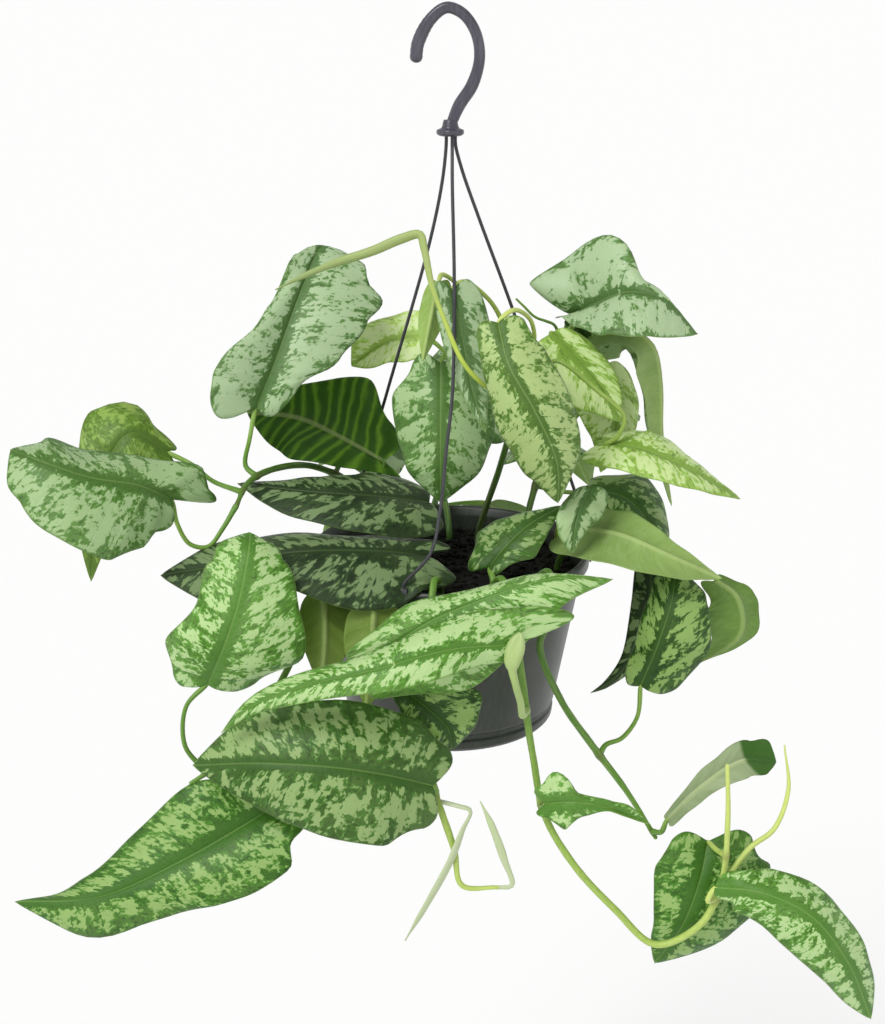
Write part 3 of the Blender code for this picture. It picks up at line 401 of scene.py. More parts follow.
def wireUpper(name, look):
    shade = Shade(name, Sheen_Weight=0.05, Sheen_Roughness=0.35, Specular_IOR_Level=0.30)
    place = shade.attribute("place")
    across, along, _ = shade.split(place)
    part, share, reach = shade.split(shade.attribute("mark"))
    patches, flecks = shade.cloud(place, "patches"), shade.cloud(place, "flecks", look.get("fine", 1.0))
    spots, tone, grain = [shade.cloud(place, kind) for kind in ("spots", "tone", "grain")]
    vein = veinLines(shade, along, leafSheen["veinWide"])
    # where silver may stand: clear of the midrib and its torn green band, thinner at the margin
    band, fromEdge = look["band"], (1 - part) * reach
    fromRib = abs(across) + (flecks - 0.5) * leafSheen["ragged"] + share * band * 0.5
    clear = shade.ease(fromRib, band * 0.55, band * 1.7)
    middle = shade.ease(part, 0.0, 0.5) * (1 - shade.ease(part, 0.72, 1.0))
    level = patches * 0.50 + flecks * 0.50 + (middle - 0.6) * leafSheen["gather"] - vein * 0.04
    level = level - (1 - clear) * look.get("bare", leafSheen["bare"])
    turn = 0.5 + (0.5 - look["cover"]) * leafSheen["cover"]
    silver = shade.ease(level, turn - look["soft"], turn + look["soft"])
    silver = silver * (shade.ease(fromEdge, 0.2, 1.1) * 0.6 + 0.4)
    # the green ground: lighter clouds, a fresh tone beside the silver, dark flecks, veins and the band
    light = shade.blend(0.55, look["green"], look["silver"])
    deepest = tuple(value * 0.42 for value in look["green"])
    fresh = tuple(value * 1.6 for value in look["rib"])
    misted = shade.ease(level, turn - 0.085, turn - 0.025) * 0.75
    near = 1 - shade.ease(fromRib, band * 0.6, band * 1.8)
    green = shade.blend(shade.ease(tone, 0.35, 0.7) * 0.35, look["green"], light)
    green = shade.blend(misted, green, fresh)
    green = shade.blend(shade.ease(spots, 0.52, 0.60) * (1 - misted) * 0.55, green, deepest)
    green = shade.blend(vein * 0.35, green, look["rib"])
    green = shade.blend(near * 0.75, green, look["rib"])
    # the silver itself, then the pale midrib line and the thin pale margin
    pale = shade.blend(0.35, look["silver"], look["green"])
    silverTone = shade.blend(shade.ease(grain, 0.35, 0.75) * 0.35 + shade.ease(patches, 0.5, 0.35) * 0.4,
                             look["silver"], pale)
    ribLine = 1 - shade.ease(abs(across), 0.25, 0.75)
    colour = shade.blend(silver, green, silverTone)
    colour = shade.blend(ribLine * 0.35, colour, look["under"])
    colour = shade.blend((1 - shade.ease(fromEdge, 0.1, 0.5)) * 0.45, colour, look["under"])
    height = grain * 0.25 + silver * 0.35 - vein * 0.6 - ribLine * 0.8
    return shade.finish(Base_Color=colour, Roughness=leafSheen["roughness"] + grain * 0.10 - silver * 0.05,
                        Normal=shade.bump(height, 0.55, leafSheen["bumpDepth"]))


def wireUnder(name, look):
    shade = Shade(name, Sheen_Weight=0.03, Sheen_Roughness=0.5, Specular_IOR_Level=0.26)
    place = shade.attribute("place")
    across, along, _ = shade.split(place)
    _, share, _ = shade.split(shade.attribute("mark"))
    tone, flecks = shade.cloud(place, "underTone"), shade.cloud(place, "underFlecks")
    vein = veinLines(shade, along + (tone - 0.5) * 9, look.get("veinWide", 0.22), (flecks - 0.5) * 0.5)
    ribLine = 1 - shade.ease(abs(across), 0.8, 1.8)
    dark = shade.blend(0.45, look["under"], look["green"])
    # the underside darkens towards the base of the blade: painted shade
    low = (1 - shade.ease(share, 0.05, 0.6)) * 0.45
    colour = shade.blend(shade.ease(tone, 0.35, 0.75) * 0.5 + low, look["under"], dark)
    colour = shade.blend(shade.ease(flecks, 0.5, 0.62) * 0.16, colour, look["silver"])
    # where a look lists lit veins, their bright colour is painted light shining through the leaf
    colour = shade.blend(vein * look.get("veinShare", 0.22), colour, look.get("paintedLitVein", dark))
    pale = shade.blend(0.35, look["under"], (0.62, 0.72, 0.32))
    colour = shade.blend(ribLine * 0.6, colour, pale)
    if "tip" in look:  # the upper face shows where the tip rolls over
        colour = shade.blend(shade.ease(share + across * 0.006, 0.74, 0.78), colour, look["tip"])
    return shade.finish(Base_Color=colour, Roughness=0.50 + tone * 0.12,
                        Normal=shade.bump(vein * 0.8 + flecks * 0.2, 0.5, leafSheen["bumpDepth"]))


stemTones = {  # colours from the oldest part, 0, to the youngest, 1
    "greenStem": ((0.0, (0.040, 0.044, 0.016)), (0.30, (0.045, 0.125, 0.010)), (0.55, (0.12, 0.27, 0.026)),
                  (0.80, (0.37, 0.50, 0.10)), (1.0, (0.58, 0.67, 0.18))),
    "paleBud": ((0.0, (0.20, 0.34, 0.07)), (0.5, (0.35, 0.48, 0.15)), (1.0, (0.50, 0.56, 0.38))),
    "spearStalk": ((0.0, (0.30, 0.44, 0.05)), (0.42, (0.44, 0.56, 0.07)), (0.58, (0.33, 0.42, 0.13)),
                   (1.0, (0.27, 0.36, 0.13))),
}


def wireStem(name):
    shade = Shade(name, Specular_IOR_Level=0.45)
    place = shade.attribute("place")
    age, ring, _ = shade.split(shade.attribute("mark"))
    streak, mottle = shade.cloud(place, "stemStreak"), shade.cloud(place, "stemMottle")
    colour = shade.ramp(age + (mottle - 0.5) * 0.25, stemTones[name])
    colour = shade.blend(shade.ease(streak, 0.45, 0.75) * 0.25, colour, (0.50, 0.62, 0.22))
    colour = shade.blend(ring * 0.45, colour, (0.12, 0.09, 0.03))
    return shade.finish(Base_Color=colour, Roughness=0.40 + mottle * 0.15,
                        Normal=shade.bump(streak * 0.5 + mottle * 0.3 - ring * 0.6, 0.45, 0.00025))


stemFinish, budFinish, spearFinish = [wireStem(name) for name in stemTones]
upperFinish = {name: wireUpper("leafUpper_" + name, look) for name, look in leafLooks.items()}
underFinish = {name: wireUnder("leafUnder_" + name, look) for name, look in leafLooks.items()}
print("leaf and stem finishes wired")


# Half a blade: where a vein leaves the midrib, then where it meets the margin, along and across
veins = (
    (0.00, -0.025, 0.13),
    (0.00, -0.085, 0.36),
    (0.02, -0.105, 0.62),
    (0.04, -0.040, 0.86),
    (0.08, 0.08, 0.98),
    (0.20, 0.27, 1.00),
    (0.38, 0.48, 0.84),
    (0.58, 0.69, 0.56),
    (0.78, 0.86, 0.27),
    (0.92, 0.96, 0.09),
)
bladeBuild = {
    "ribSteps": 24, "rowsPerVein": 6,
    "columns": (0, 0.03, 0.08, 0.15, 0.24, 0.34, 0.45, 0.56, 0.67, 0.78, 0.88, 0.95, 1.0),
    "thickness": 0.55, "edgeThickness": 0.28, "tipThickness": 0.24, "lobes": (0.8, 0.8), "veinCurve": 1.3,
    "ridge": 1.15, "ridgeHalf": 2.4, "groove": 0.40, "grooveHalf": 1.6, "quilt": 0.34, "quiltGap": 9,
    "quiltFull": 12, "bow": 0.10, "wave": 0.024, "waves": 1.6, "frill": 0.35, "frills": 4.3,
    "phases": (3.4, 1.0)}


class Blade:  # the curved sheet of one leaf, read by its share along and across
    def __init__(self, leaf):
        steps = bladeBuild["ribSteps"]
        self.rib = curvePoints(leaf["rib"], steps)
        self.length = runLength(self.rib)
        self.tangents = [(self.rib[min(at + 1, steps)] - self.rib[max(at - 1, 0)]).normalized()
                         for at in range(steps + 1)]
        first = Vector(leaf["spans"][0][2]) - Vector(leaf["spans"][0][1])
        normal = first.cross(self.tangents[0]).normalized()
        self.normals = []
        for tangent in self.tangents:
            normal = (normal - tangent * normal.dot(tangent)).normalized()
            self.normals.append(normal)
        self.lobes = leaf.get("lobes", bladeBuild["lobes"])
        self.wave, self.bow = (leaf.get(key, 1) * bladeBuild[key] for key in ("wave", "bow"))
        self.shares, self.reaches = [], ([], [])
        for share, left, right in leaf["spans"]:
            middle, axes = self.spine(share)
            self.shares.append(share)
            for hand, point in enumerate((left, right)):
                reach = (Vector(point) - middle) / halfWidth(share)
                self.reaches[hand].append(Vector([reach.dot(axis) for axis in axes]))

    def spine(self, share):  # the point of the midrib there, with its ways along, up and across
        at = min(max(share, 0.0), 1.0) * bladeBuild["ribSteps"]
        low = min(int(at), bladeBuild["ribSteps"] - 1)
        point = self.rib[low].lerp(self.rib[low + 1], at - low)
        along, up = [ways[low].lerp(ways[low + 1], at - low).normalized()
                     for ways in (self.tangents, self.normals)]
        if share < 0:
            point = point + along * share * self.length
        return point, (along, up, along.cross(up))

    def slope(self, hand, at):  # how fast the reach turns at one of its spans
        shares, reaches = self.shares, self.reaches[hand]
        if at == 0 or at == len(shares) - 1:
            return Vector((0, 0, 0))
        return (reaches[at + 1] - reaches[at - 1]) / (shares[at + 1] - shares[at - 1]) * 0.5

    def side(self, share, hand):  # from the midrib to the margin of that hand, at full width
        _, axes = self.spine(share)
        shares, reaches = self.shares, self.reaches[hand]
        reach = reaches[0]
        if share >= shares[-1]:
            reach = reaches[-1]
        elif share > shares[0]:
            low = max(at for at in range(len(shares) - 1) if shares[at] <= share)
            span = shares[low + 1] - shares[low]
            t = (share - shares[low]) / span
            reach = (reaches[low] * (2 * t ** 3 - 3 * t ** 2 + 1)
                     + reaches[low + 1] * (3 * t ** 2 - 2 * t ** 3)
                     + self.slope(hand, low) * span * (t ** 3 - 2 * t ** 2 + t)
                     + self.slope(hand, low + 1) * span * (t ** 3 - t ** 2))
        return axes[0] * reach.x + axes[1] * reach.y + axes[2] * reach.z

    def upward(self, share):
        _, axes = self.spine(share)
        spread = (self.side(share, 1) - self.side(share, 0)).normalized()
        return spread.cross(axes[0]).normalized()

    def point(self, share, part, width, hand):
        middle, _ = self.spine(share)
        reach = self.side(share, hand) * width
        lift = self.bow * 4 * (part - part * part)
        phase = bladeBuild["phases"][hand]
        ripple = self.wave * part * part * sin(tau * bladeBuild["waves"] * share + phase)
        frill = sin(tau * bladeBuild["frills"] * share + phase * 2) * min(1.0, width * 2)
        rise = (lift + ripple) * reach.length + bladeBuild["frill"] * part ** 3 * frill
        return middle + reach * part + self.upward(share) * rise


def halfWidth(share):
    edge = [(u, v) for _, u, v in veins if u > 0] + [(1.0, 0.0)]
    for (u1, v1), (u2, v2) in zip(edge, edge[1:]):
        if share <= u2:
            return v1 + (v2 - v1) * max(0.0, share - u1) / (u2 - u1)
    return 0.0


def veinAt(at):  # the vein table read smoothly between its rows
    rows = [Vector(row) for row in veins] + [Vector((1.0, 1.0, 0.0))]
    low = min(int(at), len(rows) - 2)
    t, here, after = at - low, rows[low], rows[low + 1]
    before = rows[low - 1] if low else here * 2 - after
    later = rows[low + 2] if low < len(rows) - 2 else after * 2 - here
    made = 0.5 * (2 * here + (after - before) * t + (2 * before - 5 * here + 4 * after - later) * t ** 2
                  + (3 * here - before - 3 * after + later) * t ** 3)
    return made.x, made.y, max(made.z, 0.0)


def bladeGrid(blade):  # rows that follow the veins: the points, with what each says to the finish
    columns = bladeBuild["columns"]
    hands = [(0, part) for part in reversed(columns[1:])] + [(1, part) for part in columns]
    grid = []
    for row in range(len(veins) * bladeBuild["rowsPerVein"]):
        start, edge, width = veinAt(row / bladeBuild["rowsPerVein"])
        line, vein = [], start * blade.length
        for hand, part in hands:
            limit = edge * blade.lobes[hand] if edge < 0 else edge
            share = start + (limit - start) * part ** bladeBuild["veinCurve"]
            reach = blade.side(share, hand).length * width
            puff = bladeBuild["quilt"] * sin(pi * part) * cos(tau * vein / bladeBuild["quiltGap"])
            puff = puff * min(1, reach / bladeBuild["quiltFull"])
            dent = bladeBuild["groove"] * max(0.0, 1 - part * reach / bladeBuild["grooveHalf"])
            point = blade.point(share, part, width, hand) + blade.upward(share) * (puff - dent)
            line.append((point, part * reach * (1 if hand else -1), vein, (part, share, reach)))
        grid.append(line)
    return grid


def addBlade(form, blade, seed):
    grid = bladeGrid(blade)
    rows, wide = len(grid), len(grid[0])
    tip, thin = blade.point(1.0, 0.0, 1.0, 0), bladeBuild["edgeThickness"] - bladeBuild["thickness"]
    upper, lower, place, mark = [], [], [], []
    for row, line in enumerate(grid):
        for col, (point, across, vein, (part, share, reach)) in enumerate(line):
            ahead = grid[row + 1][col][0] if row + 1 < rows else tip
            forward = ahead - grid[max(row - 1, 0)][col][0]
            right = line[min(col + 1, wide - 1)][0] - line[max(col - 1, 0)][0]
            normal, up = right.cross(forward), blade.upward(share)
            normal = normal.normalized() if normal.length > 1e-5 else up
            if normal.dot(up) < 0.15:  # where the margin turns over on itself
                normal = up
            thick = bladeBuild["thickness"] + thin * part ** 3
            ridge = max(0.0, 1 - share) ** 0.8 * max(0.0, 1 - part * reach / bladeBuild["ridgeHalf"]) ** 1.4
            upper.append(point + normal * thick / 2)
            lower.append(point - normal * (thick / 2 + bladeBuild["ridge"] * ridge))
            place.append((across, vein, seed))
            mark.append((part, share, reach))
    up, last = blade.upward(1.0) * bladeBuild["tipThickness"] / 2, rows * wide
    upper.append(tip + up)
    lower.append(tip - up)
    place.append((0.0, blade.length, seed))
    mark.append((1.0, 1.0, 0.0))
    faces = []
    for row in range(rows - 1):
        for a in range(row * wide, row * wide + wide - 1):
            faces.append((a, a + 1, a + 1 + wide, a + wide))
    faces += [(a, a + 1, last) for a in range(last - wide, last - 1)]
    edges = {(a, b) for face in faces for a, b in zip(face, face[1:] + face[:1])}
    rim = sorted((a, b) for a, b in edges if (b, a) not in edges)
    total = last + 1
    whole = faces + [tuple(total + at for at in reversed(face)) for face in faces]
    whole += [(b, a, total + a, total + b) for a, b in rim]
    form.add(upper + lower, whole, [0] * len(faces) + [1] * (len(faces) + len(rim)), place * 2, mark * 2)


# Stems: how old each reads from root to tip (0 to 1), its route from the hole in the soil outwards,
# and the young shoots on it
vines = {
    "vine_front": {
        "ages": (0.42, 0.95),
        "route": [(22, -48, -8), (23, -60, 1), (26, -73, 7), (29, -81, 2), (32, -85, -14), (36, -88, -40),
            (39, -90, -64), (42, -92, -82), (48, -98, -111), (63, -106, -135), (84, -110, -158),
            (105, -112, -177), (127, -114, -164), (137, -112, -140), (139, -108, -108), (138, -104, -80)],
        "shoots": [{"route": [(136, -112, -145), (143, -108, -136), (152, -105, -125), (164, -101, -117),
                    (171, -96, -98), (168, -94, -74)],
                    "radii": (1.5, 1.5, 1.3, 0.5), "ages": (0.9, 1.0), "flat": 0.9}]},
    "vine_right": {
        "ages": (0.3, 0.55),
        "route": [(44, -36, -8), (46, -50, 1), (50, -62, 7), (52, -70, 2), (50, -76, -12), (45, -79, -26),
            (56, -80, -55), (73, -74, -83), (92, -70, -111), (109, -68, -140)]},
    "vine_left": {
        "ages": (0.22, 0.42),
        "route": [(-30, 26, -8), (-36, 30, 8), (-52, 33, 24), (-74, 30, 36), (-92, 8, 42), (-106, -22, 42),
            (-110, -38, 35)]},
    "vine_low_left": {
        "ages": (0.34, 0.55),
        "route": [(-38, -34, -8), (-46, -44, 2), (-54, -52, 5), (-63, -53, 0), (-70, -52, -14),
            (-76, -52, -30), (-88, -62, -54), (-106, -78, -78), (-124, -88, -92), (-132, -90, -97)]},
    "vine_low_middle": {
        "ages": (0.42, 0.88),
        "route": [(-5, -50, -8), (-6, -62, 2), (-8, -72, 6), (-9, -79.5, 1), (-10, -82, -14),
            (-11, -83, -40), (-11, -88, -66), (-8, -103, -94), (-4, -108, -105), (2, -110, -124),
            (6, -112, -143), (24, -112, -144)],
        "shoots": [{"route": [(-7, -105, -99), (4, -109, -100), (10, -110, -102), (6, -112, -112),
                    (0, -114, -128), (-11, -112, -152), (-23, -108, -177)],
                    "radii": (1.2, 1.2, 2.2, 2.3, 1.9, 0.5),
                    "ages": (0.95, 0.85), "flat": 0.45, "finish": 1},
                   {"route": [(23, -112, -144), (31, -112, -143), (27, -112, -128), (21, -112, -110),
                    (15, -110, -97)],
                    "radii": (1.2, 1.4, 2.1, 1.8, 0.4), "ages": (0.9, 0.8), "flat": 0.42, "finish": 1}]},
    "vine_centre": {
        "ages": (0.02, 0.7),
        "route": [(16, 40, -8), (20, 38, 8), (28, 33, 35), (34, 22, 65), (35, 14, 92), (30, 6, 118)],
        "shoots": [{"route": [(35, 13, 93), (33, -14, 90), (27, -37, 94), (16, -51, 102), (6, -54, 114),
                    (-3, -50, 134), (-9, -46, 150), (-13, -41, 168), (-15, -39, 174), (-24, -39, 172),
                    (-38, -38, 166), (-55, -34, 160), (-73, -28, 152), (-88, -22, 144)],
                    "radii": (1.4, 1.4, 1.4, 1.3, 1.3, 1.3, 1.9, 2.7, 2.5, 1.7, 0.4),
                    "ages": (0.0, 1.0), "flat": 0.75, "finish": 2}]},
    "vine_back_right": {
        "ages": (0.25, 0.62),
        "route": [(40, 22, -8), (44, 26, 12), (54, 33, 48), (60, 34, 80), (60, 28, 108)],
        "shoots": [{"route": [(60, 28, 107), (56, 23, 117), (51, 19, 120), (45, 15, 123), (39, 13, 129),
                    (35, 12, 133)],
                    "radii": (0.9, 0.8, 0.7, 0.6), "ages": (0.55, 0.6), "flat": 1.0}]},
    "vine_low_right": {
        "ages": (0.34, 0.6),
        "route": [(58, -10, -8), (63, -13, 4), (72, -17, 7), (82, -20, 4), (100, -21, -1), (120, -19, -6),
            (134, -17, -9)]},
    "vine_back": {
        "ages": (0.25, 0.55),
        "route": [(0, 46, -8), (-2, 60, 4), (-5, 74, 8), (-8, 82, 1), (-9, 86, -14), (-6, 92, -42),
            (0, 98, -66)]},
}

# Leaves: the midrib from base to tip, the left and right margin at shares of its length, and the
# points that the petiole runs through from its stem; a sheath is its spread, length and flatness
leaves = {
    "silver_left": {
        "look": "silvery", "vine": "vine_left", "petiole": [(-108, -10, 48), (-105, -12, 64)],
        "rib": [(-102, -5, 78), (-93, 0, 99), (-86, 8, 118), (-78, 22, 139), (-69, 40, 157),
            (-62, 62, 145)],
        "spans": [(0, (-126, -14, 89), (-79, -2, 88)), (0.25, (-119, -12, 105), (-58, 4, 103)),
            (0.5, (-99, 2, 124), (-44, 14, 120)), (0.75, (-87, 20, 146), (-40, 30, 134)),
            (0.9, (-77, 36, 152), (-49, 45, 147))], "wave": 0.5},
    "inner_left": {
        "look": "backlit", "vine": "vine_left", "petiole": [(-42, 31, 28)],
        "rib": [(-36, 30, 39), (-58, 30, 52), (-82, 26, 65), (-109, 12, 72)],
        "spans": [(0, (-32, 26, 64), (-31, 26, 31)), (0.3, (-44, 20, 88), (-65, 20, 40)),
            (0.65, (-72, 18, 87), (-91, 18, 47)), (0.88, (-94, 14, 80), (-103, 12, 61))],
        "ages": (0.3, 0.4)},
    "lime_left": {
        "look": "paintedLight", "vine": "vine_centre", "petiole": [(12, 46, 76), (-4, 50, 98)],
        "rib": [(-14, 50, 106), (-33, 50, 103), (-54, 40, 91)],
        "spans": [(0.35, (-30, 36, 94), (-32, 66, 114)), (0.75, (-46, 38, 90), (-54, 46, 103))]},
    "folded_top": {
        "look": "lime", "vine": "vine_centre", "petiole": [(20, 14, 114), (8, 2, 138), (-4, -12, 150)],
        "rib": [(-6, -18, 147), (-10, -24, 129), (-14, -26, 108)],
        "spans": [(0.35, (-16, -18, 129), (-2, -16, 129))], "ages": (0.8, 0.9)},
    "upright_top": {
        "look": "silvery", "vine": "vine_centre", "petiole": [(20, -6, 136), (6, -22, 148)],
        "rib": [(1, -26, 145), (6, -33, 122), (11, -40, 96), (18, -44, 75)],
        "spans": [(0.4, (21, -31, 114), (-2, -34, 114))], "ages": (0.8, 0.92)},
    "round_centre": {
        "look": "misty", "vine": "vine_centre", "petiole": [(16, 6, 102), (2, -4, 111)],
        "rib": [(-5, -12, 104), (-5, -24, 82), (-5, -28, 56), (-5, -20, 31)],
        "spans": [(0, (10, -8, 94), (-21, -8, 101)), (0.25, (22, -8, 83), (-30, -10, 85)),
            (0.55, (21, -12, 60), (-25, -16, 58)), (0.85, (8, -16, 39), (-16, -20, 41))]},
    "long_centre": {
        "look": "sallow", "vine": "vine_centre",
        "petiole": [(42, -8, 113), (40, -34, 131), (30, -52, 139)],
        "rib": [(23, -58, 134), (28, -72, 116), (40, -78, 96), (52, -72, 68), (54, -60, 43)],
        "spans": [(0, (37, -56, 135), (12, -58, 128)), (0.25, (46, -60, 121), (16, -60, 109)),
            (0.55, (60, -64, 93), (26, -62, 77)), (0.8, (63, -64, 67), (40, -60, 56))],
        "lobes": (0.3, 0.4), "ages": (0.8, 0.96)},
    "behind_right": {
        "look": "lime", "vine": "vine_back_right", "petiole": [(56, 19, 88), (53, 3, 113)],
        "rib": [(53, -6, 119), (67, -10, 104), (79, -12, 90), (89, -14, 73)],
        "spans": [(0.35, (84, -8, 101), (57, -17, 86))]},
    "round_right": {
        "look": "lime", "vine": "vine_back_right", "petiole": [(73, 38, 80)],
        "rib": [(84, 32, 92), (89, 24, 75), (89, 16, 56), (82, 12, 38)],
        "spans": [(0.35, (103, 28, 68), (69, 14, 72))]},
    "silver_right": {
        "look": "silvery", "vine": "vine_back_right", "petiole": [(66, 26, 116)],
        "rib": [(65, 22, 123), (77, 6, 132), (91, -6, 140), (108, -14, 138), (127, -16, 120)],
        "spans": [(0, (41, 26, 140), (56, 10, 124)), (0.2, (64, 30, 153), (66, -8, 122)),
            (0.4, (83, 14, 166), (78, -26, 122)), (0.7, (103, -4, 144), (98, -32, 122)),
            (0.9, (119, -14, 129), (115, -24, 120))], "lobes": (0.3, 0.5), "wave": 0.3, "ages": (0.7, 0.6)},
    "dark_under": {
        "look": "deepShaded", "vine": "vine_back_right", "petiole": [(62, 41, 101)],
        "rib": [(65, 38, 117), (73, 36, 108), (76, 32, 94)],
        "spans": [(0, (72, 41, 121), (63, 34, 113)), (0.4, (84, 32, 112), (67, 30, 103))],
        "ages": (0.3, 0.4)},
    "folded_right": {
        "look": "pale", "vine": "vine_back_right", "petiole": [(70, 23, 101)],
        "rib": [(79, 14, 114), (95, 6, 117), (106, 4, 110), (112, 8, 88), (114, 12, 62), (118, 16, 38),
            (122, 18, 17)],
        "spans": [(0.2, (89, -10, 113), (90, 18, 104)), (0.45, (98, -8, 97), (101, 14, 90)),
            (0.7, (105, 0, 68), (107, 14, 62))]},
    "pointed_right": {
        "look": "lime", "vine": "vine_centre",
        "petiole": [(44, -16, 97), (54, -34, 110), (74, -34, 95), (89, -30, 80), (86, -26, 68)],
        "rib": [(80, -20, 63), (97, -32, 64), (122, -36, 54), (151, -30, 36)],
        "spans": [(0.3, (106, -6, 66), (93, -48, 55))], "ages": (0.55, 0.78)},
    "shade_right": {
        "look": "broad", "vine": "vine_back_right", "petiole": [(60, 30, 22)],
        "rib": [(80, 26, 23), (96, 19, 22), (111, 14, 6), (118, 8, -18)],
        "spans": [(0, (86, 42, 28), (79, 12, 17)), (0.35, (113, 40, 24), (86, 2, 8))]},
    "twisted_right": {
        "look": "pale", "vine": "vine_low_right", "petiole": [(75, -23, 13)],
        "rib": [(68, -24, 18), (89, -42, 20), (112, -50, 12), (141, -44, -3)],
        "spans": [(0.35, (78, -60, 12), (96, -28, 27))]},
    "bright_soil": {
        "look": "pale", "vine": "vine_low_right", "petiole": [(57, -20, 6), (60, -32, 34)],
        "rib": [(72, -40, 46), (64, -52, 32), (62, -56, 15)],
        "spans": [(0.35, (76, -46, 30), (54, -54, 33))], "ages": (0.7, 0.85)},
    "round_low_right": {
        "look": "deepShaded", "vine": "vine_low_right", "petiole": [(139, -17, -10)],
        "rib": [(143, -18, -14), (153, -26, -20), (156, -26, -41), (134, -16, -63)],
        "spans": [(0, (136, -24, -18), (154, -12, -15)), (0.35, (133, -32, -29), (166, -16, -28)),
            (0.7, (138, -22, -51), (160, -18, -50))]},
    "hanging_right": {
        "look": "deepShaded", "vine": "vine_right", "petiole": [(81, -68, -86), (90, -62, -85), (99, -52, -77)],
        "rib": [(101, -44, -63), (108, -52, -37), (115, -48, -13), (118, -36, 2)],
        "spans": [(0, (93, -38, -56), (123, -42, -64)), (0.25, (97, -36, -46), (136, -44, -43)),
            (0.6, (104, -37, -18), (134, -44, -18)), (0.85, (110, -34, -4), (128, -38, -7))]},
    "tail_right": {
        "look": "shaded", "vine": "vine_low_right", "petiole": [(109, -14, 1)],
        "rib": [(110, -8, -5), (106, -17, -31), (97, -20, -60), (85, -19, -74), (77, -18, -79)],
        "spans": [(0.35, (116, -12, -31), (99, -9, -28))]},
    "shade_upper": {
        "look": "shaded", "vine": "vine_left", "petiole": [(-18, 8, 18)],
        "rib": [(-11, -10, 28), (-37, -22, 35), (-73, -24, 38), (-113, -8, 38)],
        "spans": [(0.35, (-51, -46, 24), (-54, 6, 39))], "ages": (0.3, 0.4)},
    "shade_lower": {
        "look": "shaded", "vine": "vine_low_middle", "petiole": [(-7, -52, 3)],
        "rib": [(-13, -44, 10), (-40, -60, 18), (-80, -66, 19), (-114, -62, 11), (-149, -50, 1)],
        "spans": [(0, (-12, -74, 1), (-8, -32, 14)), (0.12, (-26, -80, -4), (-28, -28, 14)),
            (0.28, (-49, -84, -5), (-49, -28, 15)), (0.6, (-98, -78, 6), (-98, -46, 20)),
            (0.85, (-129, -66, -5), (-130, -48, 13))], "lobes": (1.2, 0.8), "ages": (0.25, 0.4)},
    "heart_left": {
        "look": "misty", "vine": "vine_left",
        "petiole": [(-117, -44, 24), (-124, -48, 16), (-133, -50, 18), (-139, -50, 29)],
        "rib": [(-141, -50, 42), (-155, -62, 53), (-177, -72, 60), (-198, -74, 68), (-217, -64, 72)],
        "spans": [(0, (-148, -60, 27), (-123, -36, 43)), (0.09, (-154, -68, 22), (-128, -35, 55)),
            (0.25, (-167, -82, 21), (-152, -42, 61)), (0.55, (-189, -90, 34), (-185, -46, 67)),
            (0.8, (-209, -82, 50), (-204, -52, 73)), (0.92, (-217, -74, 61), (-213, -58, 72))],
        "lobes": (0.7, 1.4)},
    "olive_left": {
        "look": "olive", "vine": "vine_left", "petiole": [(-123, -28, 45), (-134, -22, 52)],
        "rib": [(-148, -14, 57), (-166, -20, 69), (-180, -26, 50), (-186, -30, 19), (-189, -32, -9)],
        "spans": [(0, (-149, -20, 41), (-154, -8, 68)), (0.2, (-161, -28, 40), (-171, -4, 81)),
            (0.4, (-165, -34, 31), (-191, -10, 74)), (0.6, (-171, -34, 20), (-193, -20, 59)),
            (0.85, (-182, -32, 6), (-193, -30, 7))]},
    "vivid_left": {
        "look": "vivid", "vine": "vine_low_left", "petiole": [(-134, -90, -76), (-133, -86, -56)],
        "rib": [(-122, -84, -45), (-110, -98, -16), (-102, -100, 8), (-98, -92, 29), (-99, -76, 33)],
        "spans": [(0, (-141, -80, -39), (-95, -82, -43)), (0.2, (-141, -88, -20), (-74, -90, -28)),
            (0.5, (-125, -90, 0), (-75, -92, 3)), (0.8, (-117, -84, 21), (-82, -84, 21)),
            (0.93, (-110, -78, 30), (-90, -76, 28))], "ages": (0.45, 0.5)},
    "front_right": {
        "look": "speckled", "vine": "vine_low_middle", "petiole": [(-22, -90, -30)],
        "rib": [(-32, -96, -21), (-10, -104, -3), (21, -108, 12), (49, -104, 19), (79, -94, 15)],
        "spans": [(0, (-50, -92, -22), (-33, -103, -46)), (0.25, (-24, -88, -2), (9, -112, -35)),
            (0.55, (9, -96, 10), (40, -113, -6)), (0.8, (48, -94, 18), (62, -103, 10))]},
    "front_long": {
        "look": "speckled", "vine": "vine_front",
        "petiole": [(36, -97, -56), (34, -112, -42), (31, -123, -28)],
        "rib": [(30, -124, -7), (0, -135, -5), (-35, -140, -13), (-71, -136, -24), (-96, -130, -37),
            (-111, -122, -54)],
        "spans": [(0, (25, -123, -17), (45, -110, 8)), (0.3, (-10, -143, -18), (-2, -122, 5)),
            (0.6, (-52, -142, -26), (-52, -129, -14)), (0.85, (-89, -132, -38), (-95, -126, -33))],
        "lobes": (0.1, 1.3), "wave": 0.4, "ages": (0.35, 0.6), "sheath": (14, 20, 0.7)},
    "broad_low": {
        "look": "broad", "vine": "vine_low_middle", "petiole": [(-7, -110, -91)],
        "rib": [(-9, -114, -86), (-32, -126, -74), (-58, -132, -67), (-91, -128, -67), (-127, -112, -76)],
        "spans": [(0, (-14, -122, -107), (-2, -104, -68)), (0.25, (-34, -134, -108), (-19, -108, -52)),
            (0.5, (-66, -134, -101), (-59, -110, -42)), (0.75, (-95, -126, -91), (-98, -110, -50)),
            (0.9, (-112, -118, -85), (-115, -110, -63))], "lobes": (0.5, 0.5)},
    "pointed_low": {
        "look": "lush", "vine": "vine_low_left", "petiole": [(-98, -86, -90), (-88, -92, -100)],
